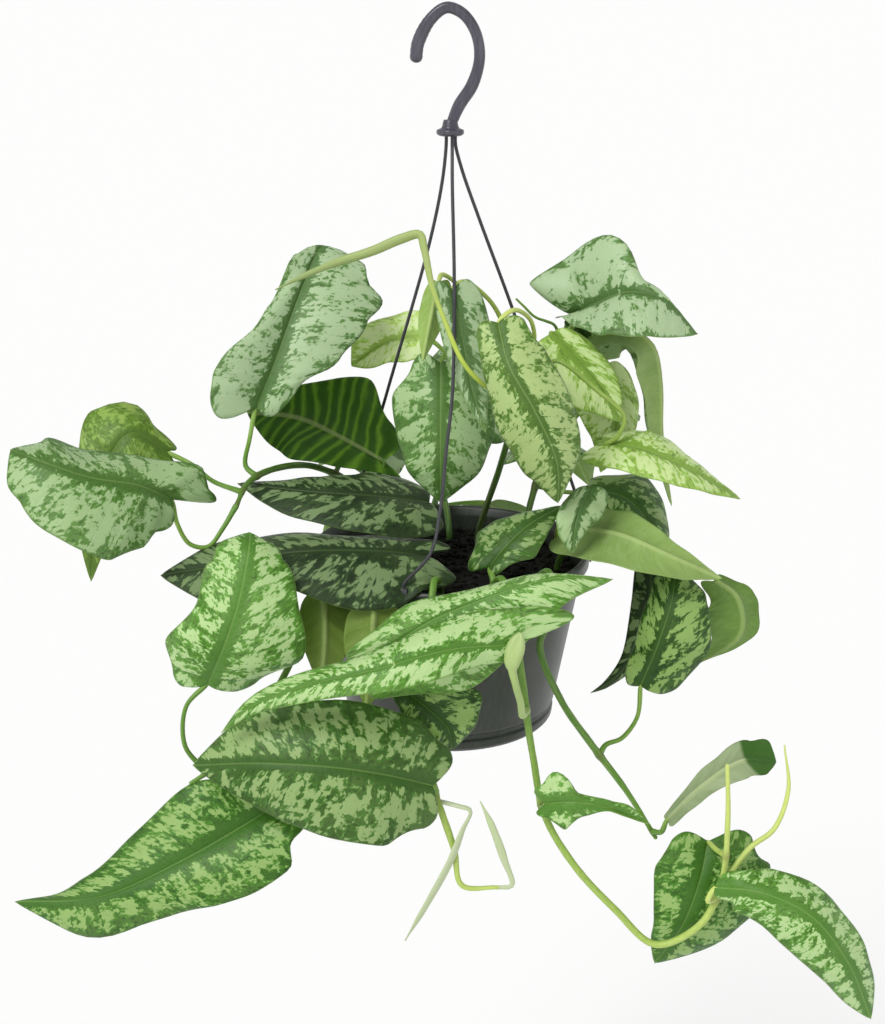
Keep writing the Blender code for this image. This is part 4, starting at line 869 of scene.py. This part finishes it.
        "rib": [(-89, -98, -106), (-108, -106, -115), (-135, -114, -128), (-176, -116, -147),
            (-223, -104, -157)],
        "spans": [(0, (-76, -112, -116), (-106, -92, -90)), (0.2, (-82, -118, -131), (-131, -98, -94)),
            (0.45, (-113, -122, -147), (-160, -100, -120)), (0.7, (-151, -120, -159), (-186, -104, -143)),
            (0.88, (-195, -112, -169), (-207, -104, -154))]},
    "green_low": {
        "look": "deepShaded", "vine": "vine_low_middle", "petiole": [(-17, -88, -40)],
        "rib": [(-23, -92, -45), (-10, -96, -54), (-1, -96, -64), (1, -92, -77)],
        "spans": [(0, (-10, -90, -40), (-27, -96, -51)), (0.4, (15, -90, -48), (-22, -97, -67)),
            (0.75, (12, -90, -66), (-10, -95, -73))]},
    "olive_front": {
        "look": "olive", "vine": "vine_low_left", "petiole": [(-65, -60, 3)],
        "rib": [(-64, -64, -4), (-63, -78, -23), (-65, -82, -49)],
        "spans": [(0.3, (-76, -72, -23), (-49, -70, -24))]},
    "olive_middle": {
        "look": "olive", "vine": "vine_low_left",
        "petiole": [(-52, -60, 6), (-46, -70, 1), (-41, -78, -3)],
        "rib": [(-38, -80, -7), (-39, -87, -28), (-42, -90, -56)],
        "spans": [(0.3, (-53, -82, -25), (-24, -83, -24))]},
    "small_front": {
        "look": "vivid", "vine": "vine_front", "petiole": [(47, -103, -104)],
        "rib": [(48, -108, -99), (60, -114, -95), (75, -113, -98), (101, -106, -112)],
        "spans": [(0, (45, -106, -89), (47, -108, -107)), (0.16, (52, -110, -81), (57, -114, -110)),
            (0.35, (64, -111, -92), (66, -114, -103)), (0.6, (80, -111, -96), (80, -113, -101)),
            (0.85, (93, -108, -103), (93, -109, -108))]},
    "pale_low_right": {
        "look": "ashen", "vine": "vine_right", "petiole": [(111, -73, -134)],
        "rib": [(114, -76, -125), (130, -84, -101), (149, -86, -86), (167, -82, -89)],
        "spans": [(0, (116, -80, -127), (112, -74, -123)), (0.45, (136, -90, -101), (137, -74, -91)),
            (0.75, (153, -88, -94), (155, -72, -82)), (0.9, (163, -84, -94), (165, -76, -82))],
        "lobes": (0.2, 0.2), "wave": 0.4},
    "heart_low_right": {
        "look": "lush", "vine": "vine_front", "petiole": [(135, -102, -128)],
        "rib": [(132, -94, -128), (127, -106, -143), (119, -108, -168), (107, -98, -197)],
        "spans": [(0, (157, -90, -128), (111, -99, -125)), (0.3, (165, -92, -144), (105, -100, -141)),
            (0.65, (151, -100, -173), (105, -102, -169)), (0.88, (125, -98, -192), (105, -98, -188))],
        "lobes": (0.6, 0.6), "ages": (0.8, 0.9)},
    "arched_tip": {
        "look": "vivid", "vine": "vine_front", "petiole": [(129, -120, -147)],
        "rib": [(132, -122, -138), (152, -132, -135), (176, -136, -145), (197, -132, -172),
            (218, -114, -220)],
        "spans": [(0, (141, -119, -130), (134, -122, -145)), (0.25, (162, -119, -130), (143, -128, -149)),
            (0.5, (193, -118, -149), (166, -130, -166)), (0.75, (212, -118, -179), (189, -124, -190)),
            (0.9, (219, -112, -205), (206, -116, -211))], "lobes": (0.2, 0.1), "ages": (0.9, 1.0)},
    "soil_leaf": {
        "look": "broad", "vine": "vine_front", "petiole": [(22, -52, 0)],
        "rib": [(20, -46, 4), (28, -44, 14), (41, -36, 24), (59, -22, 30)],
        "spans": [(0, (9, -40, 5), (29, -51, 5)), (0.35, (17, -24, 17), (44, -48, 12))]},
    "back_low": {
        "look": "vivid", "vine": "vine_back", "petiole": [(-6, 102, -48)],
        "rib": [(0, 106, -48), (2, 120, -54), (0, 126, -70), (-4, 120, -94)],
        "spans": [(0.35, (-26, 112, -60), (26, 112, -60))], "bow": -1},
    "back_drop": {
        "look": "broad", "vine": "vine_back", "petiole": [(-16, 90, -16)],
        "rib": [(-28, 94, -8), (-46, 106, -22), (-56, 110, -48), (-58, 104, -78)],
        "spans": [(0.35, (-76, 98, -26), (-22, 110, -34))], "bow": -1},
    "back_spread": {
        "look": "silvery", "vine": "vine_back", "petiole": [(-14, 80, 16)],
        "rib": [(-24, 84, 24), (-42, 108, 34), (-62, 132, 26), (-82, 148, 2)],
        "spans": [(0.35, (-66, 90, 30), (-24, 130, 30))]},
    "back_reach": {
        "look": "vivid", "vine": "vine_back_right", "petiole": [(49, 52, 42)],
        "rib": [(46, 78, 28), (60, 98, 32), (74, 114, 22), (88, 122, -4)],
        "spans": [(0.35, (44, 112, 26), (84, 88, 26))]},
    "back_upright": {
        "look": "silvery", "vine": "vine_back", "petiole": [(4, 66, 28)],
        "rib": [(8, 66, 46), (8, 76, 70), (12, 92, 90), (18, 108, 98)],
        "spans": [(0.35, (-22, 80, 66), (38, 76, 66))]},
    "back_hidden": {
        "look": "vivid", "vine": "vine_left", "petiole": [(-60, 44, 40)],
        "rib": [(-66, 56, 54), (-76, 80, 64), (-88, 100, 62), (-104, 114, 44)],
        "spans": [(0.35, (-104, 70, 56), (-56, 100, 56))]},
    "back_right": {
        "look": "silvery", "vine": "vine_back_right", "petiole": [(64, 44, 56)],
        "rib": [(72, 54, 60), (86, 76, 66), (98, 94, 56), (106, 104, 32)],
        "spans": [(0.35, (66, 92, 56), (108, 62, 56))]},
    "back_under": {
        "look": "broad", "vine": "vine_back", "petiole": [(10, 92, -4)],
        "rib": [(24, 94, -4), (38, 106, -20), (44, 110, -46), (42, 102, -76)],
        "spans": [(0.35, (16, 112, -30), (60, 96, -28))], "bow": -1},
}

stemBuild = {"radius": 1.8, "thins": (1,) * 8 + (0.8, 0.6), "sides": 16, "step": 2.0, "rootDepth": 9,
             "nodeSwell": 0.30, "nodeReach": 2.6, "lumpScale": 0.12, "lump": 0.06}
shootBuild = {"sides": 14, "step": 1.6, "thinnest": 0.25}
seedSteps = {"vine": 9.0, "blade": 7.3, "petiole": 3.1, "strand": 5.0}  # so that no two mottles match


def vineLine(vine):  # the route with the end that stands in the mix
    x, y, _ = vine["route"][0]
    return [(x, y, 0.8 - soilDepth - stemBuild["rootDepth"]), (x, y, -soilDepth - 4)] + vine["route"]


def nearestStem(line, radii, point):
    best = None
    for a, b, thick, later in zip(line, line[1:], radii, radii[1:]):
        part = min(max((point - a).dot(b - a) / (b - a).length_squared, 0.0), 1.0)
        spot = a.lerp(b, part)
        if best is None or (point - spot).length < best[0]:
            best = ((point - spot).length, spot, thick + (later - thick) * part)
    return best[1:]


stemLines, stemRadii, stemNodes = {}, {}, {}
for name, vine in vines.items():
    route = vineLine(vine)
    count = round(runLength(route) / stemBuild["step"])
    stemLines[name] = curvePoints(route, count)
    stemRadii[name] = [stemBuild["radius"] * between(stemBuild["thins"], at / count)
                       for at in range(count + 1)]
    stemNodes[name] = []
for leaf in leaves.values():  # a stem swells where a leaf's stalk joins it
    spot, _ = nearestStem(stemLines[leaf["vine"]], stemRadii[leaf["vine"]], Vector(leaf["petiole"][0]))
    stemNodes[leaf["vine"]].append(spot)


def addShoot(form, shoot, seed):
    steps = round(runLength(shoot["route"]) / shootBuild["step"])
    radii = [max(shootBuild["thinnest"], between(shoot["radii"], at / steps)) for at in range(steps + 1)]
    sweep(form, curvePoints(shoot["route"], steps), radii, shootBuild["sides"], shoot.get("finish", 0), seed,
          shoot["ages"], flat=shoot["flat"], across=(0, 1, 0.1) if shoot["flat"] > 0.8 else (1, 0, 0.3))


for index, (name, vine) in enumerate(vines.items()):
    form, seed = Form(), index * seedSteps["vine"]
    radii, rings = [], []
    for point, radius in zip(stemLines[name], stemRadii[name]):
        off = min([(point - spot).length for spot in stemNodes[name]] + [100])
        near = exp(-(off / stemBuild["nodeReach"]) ** 2)
        lump = noise.noise(point * stemBuild["lumpScale"]) * stemBuild["lump"]
        radii.append(radius * (1 + stemBuild["nodeSwell"] * near + lump))
        rings.append(near)
    sweep(form, stemLines[name], radii, stemBuild["sides"], seed=seed, ages=vine["ages"], rings=rings)
    for shoot in vine.get("shoots", []):
        addShoot(form, shoot, seed + 4)
    dress(form.build("stem_" + name, [stemFinish, budFinish, spearFinish]), name)
print("stems built:", len(vines))

petioleBuild = {"radius": 1.25, "sides": 12, "step": 1.8, "ages": (0.50, 0.66), "seat": 0.55, "taper": 0.12,
                "foot": 0.35, "footReach": 5, "swell": 0.16, "swellAt": 6, "swellReach": 5, "thin": 0.45,
                "runsUnder": ((0.0, 1.0), (0.06, 0.75)), "flute": 0.10, "fluteHalf": 0.5,
                "plainEnd": (0, 1, 0), "sheathStalk": 1.5, "sheathCap": 0.15,
                "sheathEnds": ((-1, -2.5, -8), (3, -2.5, 7))}


def addPetiole(form, leaf, blade, seed):
    towards = Vector(leaf["petiole"][0])
    stem, stemRadius = nearestStem(stemLines[leaf["vine"]], stemRadii[leaf["vine"]], towards)
    start = stem + (towards - stem).normalized() * stemRadius * petioleBuild["seat"]
    ends = [blade.spine(share)[0] - blade.upward(share) * depth
            for share, depth in petioleBuild["runsUnder"]]
    spread, reach, flat = leaf.get("sheath", petioleBuild["plainEnd"])
    if spread:  # a pale sheath lies over the foot of the blade instead of running on under it
        ends = [blade.rib[0] + Vector(shift) for shift in petioleBuild["sheathEnds"]]
    through = [start] + [Vector(p) for p in leaf["petiole"]] + ends
    length, last = runLength(through), (ends[1] - ends[0]).length
    count = max(8, round(length / petioleBuild["step"]))

    def flared(share):  # 0 until the stalk's end piece starts, 1 at its tip
        return max(0.0, 1 - length * (1 - share) / reach)

    radii = []
    for at in range(count + 1):
        along = length * at / count
        fromBlade = length - last - along
        foot = petioleBuild["foot"] * exp(-along / petioleBuild["footReach"])
        off = (fromBlade - petioleBuild["swellAt"]) / petioleBuild["swellReach"]
        swell = petioleBuild["swell"] * exp(-off ** 2)
        thin = 1 - petioleBuild["thin"] * max(0.0, 1 - max(fromBlade + 3, 0) / 5)
        radius = petioleBuild["radius"] * (1 - petioleBuild["taper"] * at / count + foot + swell) * thin
        radius = radius * (petioleBuild["sheathStalk"] if spread else 1)
        end = flared(at / count)
        radii.append(radius * (1 - 0.8 * end ** 2) + spread * end * (1 - end) ** 0.8)

    def section(angle, share):  # a shallow flute runs up the top of the stalk
        flute = petioleBuild["flute"] * exp(-((angle - pi / 2) / petioleBuild["fluteHalf"]) ** 2)
        return (1 - flute) * (1 - flat * flared(share) ** 0.4 * sin(angle) ** 2)

    more = {"across": blade.tangents[0], "cap": petioleBuild["sheathCap"]} if spread else {}
    sweep(form, curvePoints(through, count), radii, petioleBuild["sides"] * (2 if spread else 1),
          3 if spread else 2, seed, leaf.get("ages", petioleBuild["ages"]), section=section, **more)


for index, (name, leaf) in enumerate(leaves.items()):
    form, blade = Form(), Blade(leaf)
    addBlade(form, blade, index * seedSteps["blade"])
    addPetiole(form, leaf, blade, index * seedSteps["petiole"])
    finishes = [upperFinish[leaf["look"]], underFinish[leaf["look"]], stemFinish, budFinish]
    dress(form.build("foliage_" + name, finishes), "leaf_" + name)
print("leaves built:", len(leaves))

potBuild = {"rim": 75, "base": 56, "height": 96, "wall": 2.0, "lip": 8, "steps": 144, "sharp": 50,
            "holes": 6, "holeRadius": 4, "holeSteps": 28, "holeRing": 38, "holeTurn": 0.3,
            "colour": (0.021, 0.028, 0.019), "dust": (0.075, 0.084, 0.060), "roughness": 0.38,
            "dusty": 0.35, "grain": 900.0}


def innerRadius(height):
    share = (height + potBuild["height"]) / (potBuild["height"] - potBuild["lip"])
    return potBuild["base"] - potBuild["wall"] + (potBuild["rim"] - 2.4 - potBuild["base"]) * share


def wirePlastic(name, build):
    shade = Shade(name, Specular_IOR_Level=0.5)
    spot = shade.objectPlace()
    cloud = shade.noise(spot, 14.0, 4.0, 0.6)
    scratch = shade.noise(shade.scaled(spot, (1.0, 1.0, 0.12)), 420.0, 3.0, 0.55)
    speck = shade.noise(spot, build["grain"], 2.0)
    worn = shade.ease(cloud, 0.52, 0.80) * build["dusty"]
    scuffed = shade.blend(shade.ease(scratch, 0.4, 0.8) * 0.30, build["colour"], build["dust"])
    colour = shade.blend(worn, scuffed, build["dust"])
    rough = build["roughness"] + worn * 0.5 + (scratch - 0.5) * 0.12
    return shade.finish(Base_Color=colour, Roughness=rough,
                        Normal=shade.bump(speck * 0.6 + scratch * 0.4, 0.35, 0.00012))


potFinish = wirePlastic("potPlastic", potBuild)
wallTop = -potBuild["lip"] - 2
base, height, rim = potBuild["base"], potBuild["height"], potBuild["rim"]
outerTop = innerRadius(wallTop) + potBuild["wall"]
potProfile = [(0, -height + 3), (base - 6, -height + 3), (base - 4.5, -height), (base - 0.5, -height),
              (base + 1.2, -height + 2), (base + 1.6, -height + 6), (base + 0.4, -height + 7),
              (base + 0.6, -height + 9), (innerRadius(-85) + potBuild["wall"], -85), (outerTop, wallTop),
              (rim + 0.6, -potBuild["lip"]), (rim + 1, -1.6), (rim, 0), (rim - 2, -0.6),
              (innerRadius(-5), -5), (innerRadius(-height + 7), -height + 7),
              (innerRadius(-height + 5) - 2, -height + 5), (0, -height + 5)]
form = Form()
lathe(form, rounded(potProfile, 0.8), potBuild["steps"])
pot = form.build("nurseryPot", [potFinish])
drills, drillWide = [], potBuild["holeRadius"]
for at in range(potBuild["holes"]):
    form, turn = Form(), tau * at / potBuild["holes"] + potBuild["holeTurn"]
    lathe(form, [(0, -height - 2), (drillWide, -height - 2), (drillWide, -height + 8), (0, -height + 8)],
          potBuild["holeSteps"])
    drill = form.build("drainHole", [potFinish])
    drill.location = Vector((potBuild["holeRing"] * cos(turn), potBuild["holeRing"] * sin(turn), 0)) * unit
    drills.append(drill)
bpy.context.view_layer.update()
combine(pot, drills, "DIFFERENCE", potBuild["sharp"])
dress(pot, "pot")
print("pot turned")

soilBuild = {"steps": 120, "edge": 66, "slope": 0.022, "lumps": ((9, 1.3), (3.2, 0.7), (1.4, 0.3)),
             "crumbs": 760, "crumbSizes": (0.7, 0.9, 1.2, 1.6, 2.3), "knobs": 0.45, "seed": 11,
             "colour": (0.0022, 0.0026, 0.0013), "bark": (0.013, 0.009, 0.004),
             "fibre": (0.055, 0.040, 0.022)}


def wireSoil(name):
    shade = Shade(name, Specular_IOR_Level=0.25)
    spot = shade.objectPlace()
    lump = shade.noise(spot, 160.0, 5.0, 0.65)
    bits = shade.noise(spot, 520.0, 3.0, 0.6)
    colour = shade.blend(shade.ease(lump, 0.48, 0.72) * 0.7, soilBuild["colour"], soilBuild["bark"])
    colour = shade.blend(shade.ease(bits, 0.66, 0.74) * 0.6, colour, soilBuild["fibre"])
    return shade.finish(Base_Color=colour, Roughness=0.80 + bits * 0.2,
                        Normal=shade.bump(lump * 0.7 + bits * 0.4, 0.9, 0.0012))


def lumpy(point):  # the loose top of the mix; its sides and floor stay plain
    if point.z < -soilDepth - 2:
        return point
    return point + Vector((0, 0, sum(noise.noise(point / size) * tall for size, tall in soilBuild["lumps"])))


def mixTop(radius):  # the mix stands a little higher in the middle
    return -soilDepth + (soilBuild["edge"] - radius) * soilBuild["slope"]


def addCrumb(form, ball, drawn):
    points, faces = ball
    out, turn = soilBuild["edge"] * drawn.random() ** 0.5, drawn.uniform(0, tau)
    size = drawn.choice(soilBuild["crumbSizes"])
    stretch = Vector((drawn.uniform(0.7, 1.7), drawn.uniform(0.6, 1.1), drawn.uniform(0.4, 0.9)))
    spin = Matrix.Rotation(drawn.uniform(0, tau), 3, "Z") @ Matrix.Rotation(drawn.uniform(-0.6, 0.6), 3, "X")
    centre = lumpy(Vector((out * cos(turn), out * sin(turn), mixTop(out))))
    centre.z += size * 0.25
    shift = Vector((drawn.uniform(0, 50), 0, 0))
    made = []
    for point in points:
        bump = 1 + noise.noise(point * 1.3 + shift) * soilBuild["knobs"]
        made.append(centre + spin @ Vector([point[k] * stretch[k] * size * bump for k in range(3)]))
    form.add(made, faces)


def plainBall():  # the points and faces that every crumb starts from
    ball = bmesh.new()
    bmesh.ops.create_icosphere(ball, subdivisions=2, radius=1.0)
    made = [v.co.copy() for v in ball.verts], [tuple(v.index for v in f.verts) for f in ball.faces]
    ball.free()
    return made


soilFinish = wireSoil("pottingSoil")
floor, top = -height + 5 + gap, -soilDepth
soilProfile = [(0, floor), (innerRadius(floor) - 4, floor), (innerRadius(floor + 4) - 2 * gap, floor + 4),
               (innerRadius(top - 3) - 2 * gap, top - 3), (innerRadius(top) - 2.5, top - 0.3)]
soilProfile += [(radius, mixTop(radius)) for radius in range(64, 0, -2)] + [(0, top + 1.5)]
form = Form()
lathe(form, soilProfile, soilBuild["steps"], wobble=lumpy)
drawn, ball = random.Random(soilBuild["seed"]), plainBall()
for _ in range(soilBuild["crumbs"]):
    addCrumb(form, ball, drawn)
dress(form.build("pottingMix", [soilFinish]), "soil")
print("soil laid")

hookBuild = {
    "route": [(-17, 0, 256), (-16, 0, 263), (-10, 0, 274), (-2, 0, 279.8), (6, 0, 277), (12.5, 0, 268),
              (14.5, 0, 256), (11, 0, 243), (4.5, 0, 233), (0.5, 0, 224)],
    "radii": (3.2, 3.3, 3.0, 2.9, 2.8, 2.8, 2.9, 3.2, 3.2, 2.8), "undersize": 0.05, "steps": 110,
    "sides": 32, "channel": 0.24, "channelHalf": 0.38, "ribs": 34, "ribShare": 0.22, "ribHeight": 0.10,
    "collarTop": 222, "collarHeight": 4, "collarRadius": 7, "collarSteps": 64, "collarEase": 0.6,
    "sharp": 50, "colour": (0.056, 0.054, 0.072), "dust": (0.17, 0.165, 0.19), "roughness": 0.26,
    "dusty": 0.30, "grain": 700.0}


def hookSection(angle, share):  # a shallow channel runs down the front and the back
    away = min(abs(angle - pi / 2), abs(angle - 3 * pi / 2))
    fade = min(1.0, share / 0.04, (1 - share) / 0.06)
    return 1 - hookBuild["channel"] * exp(-(away / hookBuild["channelHalf"]) ** 2) * max(0.0, fade)


def hookRadius(share):  # fine grip ribs run round the open end
    ribs = max(0.0, sin(tau * share * hookBuild["ribs"])) if share < hookBuild["ribShare"] else 0.0
    return between(hookBuild["radii"], share) - hookBuild["undersize"] + hookBuild["ribHeight"] * ribs


hookFinish = wirePlastic("hookPlastic", hookBuild)
form, steps = Form(), hookBuild["steps"]
sweep(form, curvePoints(hookBuild["route"], steps), [hookRadius(at / steps) for at in range(steps + 1)],
      hookBuild["sides"], across=(0.94, 0, 0.34), section=hookSection)
hook = form.build("hangerHook", [hookFinish])
form = Form()
collarTop, wide = hookBuild["collarTop"], hookBuild["collarRadius"]
collarBase = collarTop - hookBuild["collarHeight"]
collarProfile = [(0, collarBase), (wide - 1.5, collarBase), (wide, collarBase + 1), (wide, collarTop - 1),
                 (4.4, collarTop), (3.4, collarTop + 4), (0, collarTop + 4)]
lathe(form, rounded(collarProfile, hookBuild["collarEase"]), hookBuild["collarSteps"])
combine(hook, [form.build("hookCollar", [hookFinish])], "UNION", hookBuild["sharp"])
dress(hook, "hook")
print("hook moulded")

# Strands: where each leaves the collar, its bends and the side of the rim it clips to
strands = {
    "strand_front": {"start": (1, -2.4), "rimAngle": -18,
        "bends": [(1, -10, 197), (2, -27, 147), (1, -45, 95), (-2, -54, 69), (-5, -63, 41),
            (-10, -71, 20)]},
    "strand_left": {"start": (-2, 1.6), "rimAngle": -134,
        "bends": [(-4, 5, 195), (-11, 13, 161), (-34, 32, 79)]},
    "strand_right": {"start": (2.6, 1), "rimAngle": 97,
        "bends": [(6, 2, 201), (15, 3, 176), (32, 5, 131), (52, 7, 74)]},
}

strandBuild = {"radius": 0.882, "sides": 14, "steps": 110, "offRim": 1.2, "clipWidth": 5.2,
               "clipBevel": 0.35, "sharp": 45, "colour": (0.032, 0.032, 0.038),
               "dust": (0.085, 0.085, 0.10), "roughness": 0.40, "dusty": 0.25, "grain": 900.0}
strandFinish = wirePlastic("strandPlastic", strandBuild)


def rimClip(turn):  # the moulded catch over the outside of the rim
    out, across = Vector((sin(turn), -cos(turn), 0)), Vector((cos(turn), sin(turn), 0))
    reach, lip = potBuild["rim"] + 1.5, potBuild["lip"]
    outline = [(reach - 4.5, 2.4), (reach + 1.8, 2.4), (reach + 2.4, -3), (reach + 1.6, -lip - 4),
               (reach - 1.6, -lip - 2.2), (reach - 1.4, -lip - 1.0), (reach, -lip - 0.6), (reach, 0.9),
               (reach - 4.5, 0.9)]
    count = len(outline)
    points = [out * radius + across * shift * strandBuild["clipWidth"] / 2 + Vector((0, 0, tall))
              for shift in (-1, 1) for radius, tall in outline]
    faces = [tuple(range(count)), tuple(reversed(range(count, 2 * count)))]
    faces += [((at + 1) % count, at, at + count, (at + 1) % count + count) for at in range(count)]
    form = Form()
    form.add(points, faces)
    clip = form.build("rimClip", [strandFinish])
    clean = bmesh.new()
    clean.from_mesh(clip.data)
    bmesh.ops.recalc_face_normals(clean, faces=clean.faces)
    clean.to_mesh(clip.data)
    clean.free()
    ease = clip.modifiers.new("ease", "BEVEL")
    ease.width, ease.segments, ease.limit_method = strandBuild["clipBevel"] * unit, 2, "ANGLE"
    applyModifiers(clip)
    return clip


for index, (name, strand) in enumerate(strands.items()):
    turn, edge = radians(strand["rimAngle"]), potBuild["rim"] + strandBuild["offRim"]
    x, y = strand["start"]
    landing = [(edge * sin(turn), -edge * cos(turn), tall) for tall in (4, 1.7)]
    through = [(x, y, collarBase - gap), (x, y, collarBase - 4)] + strand["bends"] + landing
    line = curvePoints(through, strandBuild["steps"])
    form = Form()
    radii = [strandBuild["radius"]] * len(line)
    sweep(form, line, radii, strandBuild["sides"], seed=index * seedSteps["strand"])
    item = form.build("hanger_" + name, [strandFinish])
    combine(item, [rimClip(turn)], "UNION", strandBuild["sharp"])
    dress(item, name)
    print(name, "runs", round(runLength(line)), "mm")

stageBuild = {"floorHeight": -1.15, "floorSize": 900.0, "white": (0.97, 0.97, 0.965),
              "shade": (0.95, 0.95, 0.95), "horizon": 0.985, "overhead": 0.46, "sky": (0.15, 0.55),
              "sunFrom": (-0.55, -0.75, 1.0), "sunStrength": 2.1, "sunAngle": 32}

floorMesh = bpy.data.meshes.new("studioFloor")
half = stageBuild["floorSize"] / 2
tall = stageBuild["floorHeight"]
corners = [(-half, -half, tall), (half, -half, tall), (half, half, tall), (-half, half, tall)]
floorMesh.from_pydata(corners, [], [(0, 1, 2, 3)])
studioFloor = bpy.data.objects.new("studioFloor", floorMesh)
bpy.context.scene.collection.objects.link(studioFloor)
floorShade = Shade("studioWhite", Specular_IOR_Level=0.0)
haze = floorShade.noise(floorShade.objectPlace(), 3.0)
studioFloor.data.materials.append(floorShade.finish(
    Base_Color=floorShade.blend(haze * 0.1, stageBuild["white"], stageBuild["shade"]),
    Roughness=0.9 + haze * 0.05))

world = bpy.data.worlds.new("studioWorld")  # bright round the horizon, softer overhead
world.use_nodes = True
skyNodes, skyLinks = world.node_tree.nodes, world.node_tree.links
direction = skyNodes.new("ShaderNodeTexCoord")
heightOf = skyNodes.new("ShaderNodeSeparateXYZ")
fall = skyNodes.new("ShaderNodeMapRange")
fall.interpolation_type = "SMOOTHSTEP"
for socket, value in (("From Min", stageBuild["sky"][0]), ("From Max", stageBuild["sky"][1]),
                      ("To Min", stageBuild["horizon"]), ("To Max", stageBuild["overhead"])):
    fall.inputs[socket].default_value = value
skyLinks.new(direction.outputs["Generated"], heightOf.inputs[0])
skyLinks.new(heightOf.outputs["Z"], fall.inputs["Value"])
skyLinks.new(fall.outputs[0], skyNodes["Background"].inputs["Strength"])
skyNodes["Background"].inputs["Color"].default_value = (1.0, 1.0, 1.0, 1.0)
bpy.context.scene.world = world

sunLamp = bpy.data.lights.new("softSun", "SUN")
sunLamp.energy, sunLamp.angle = stageBuild["sunStrength"], radians(stageBuild["sunAngle"])
softSun = bpy.data.objects.new("softSun", sunLamp)
softSun.rotation_euler = (-Vector(stageBuild["sunFrom"])).to_track_quat("-Z", "Y").to_euler()
bpy.context.scene.collection.objects.link(softSun)

cameraBuild = {"at": (-0.0039, -0.850, 0.012), "tilt": 72.4, "lens": 58.08, "sensor": 36.0}
camera = bpy.data.objects.new("studioCamera", bpy.data.cameras.new("studioCamera"))
camera.location = cameraBuild["at"]
camera.rotation_euler = (radians(cameraBuild["tilt"]), 0, 0)
camera.data.lens, camera.data.sensor_width = cameraBuild["lens"], cameraBuild["sensor"]
bpy.context.scene.collection.objects.link(camera)
bpy.context.scene.camera = camera
bpy.context.scene.view_settings.view_transform = "Standard"

print("scene ready")
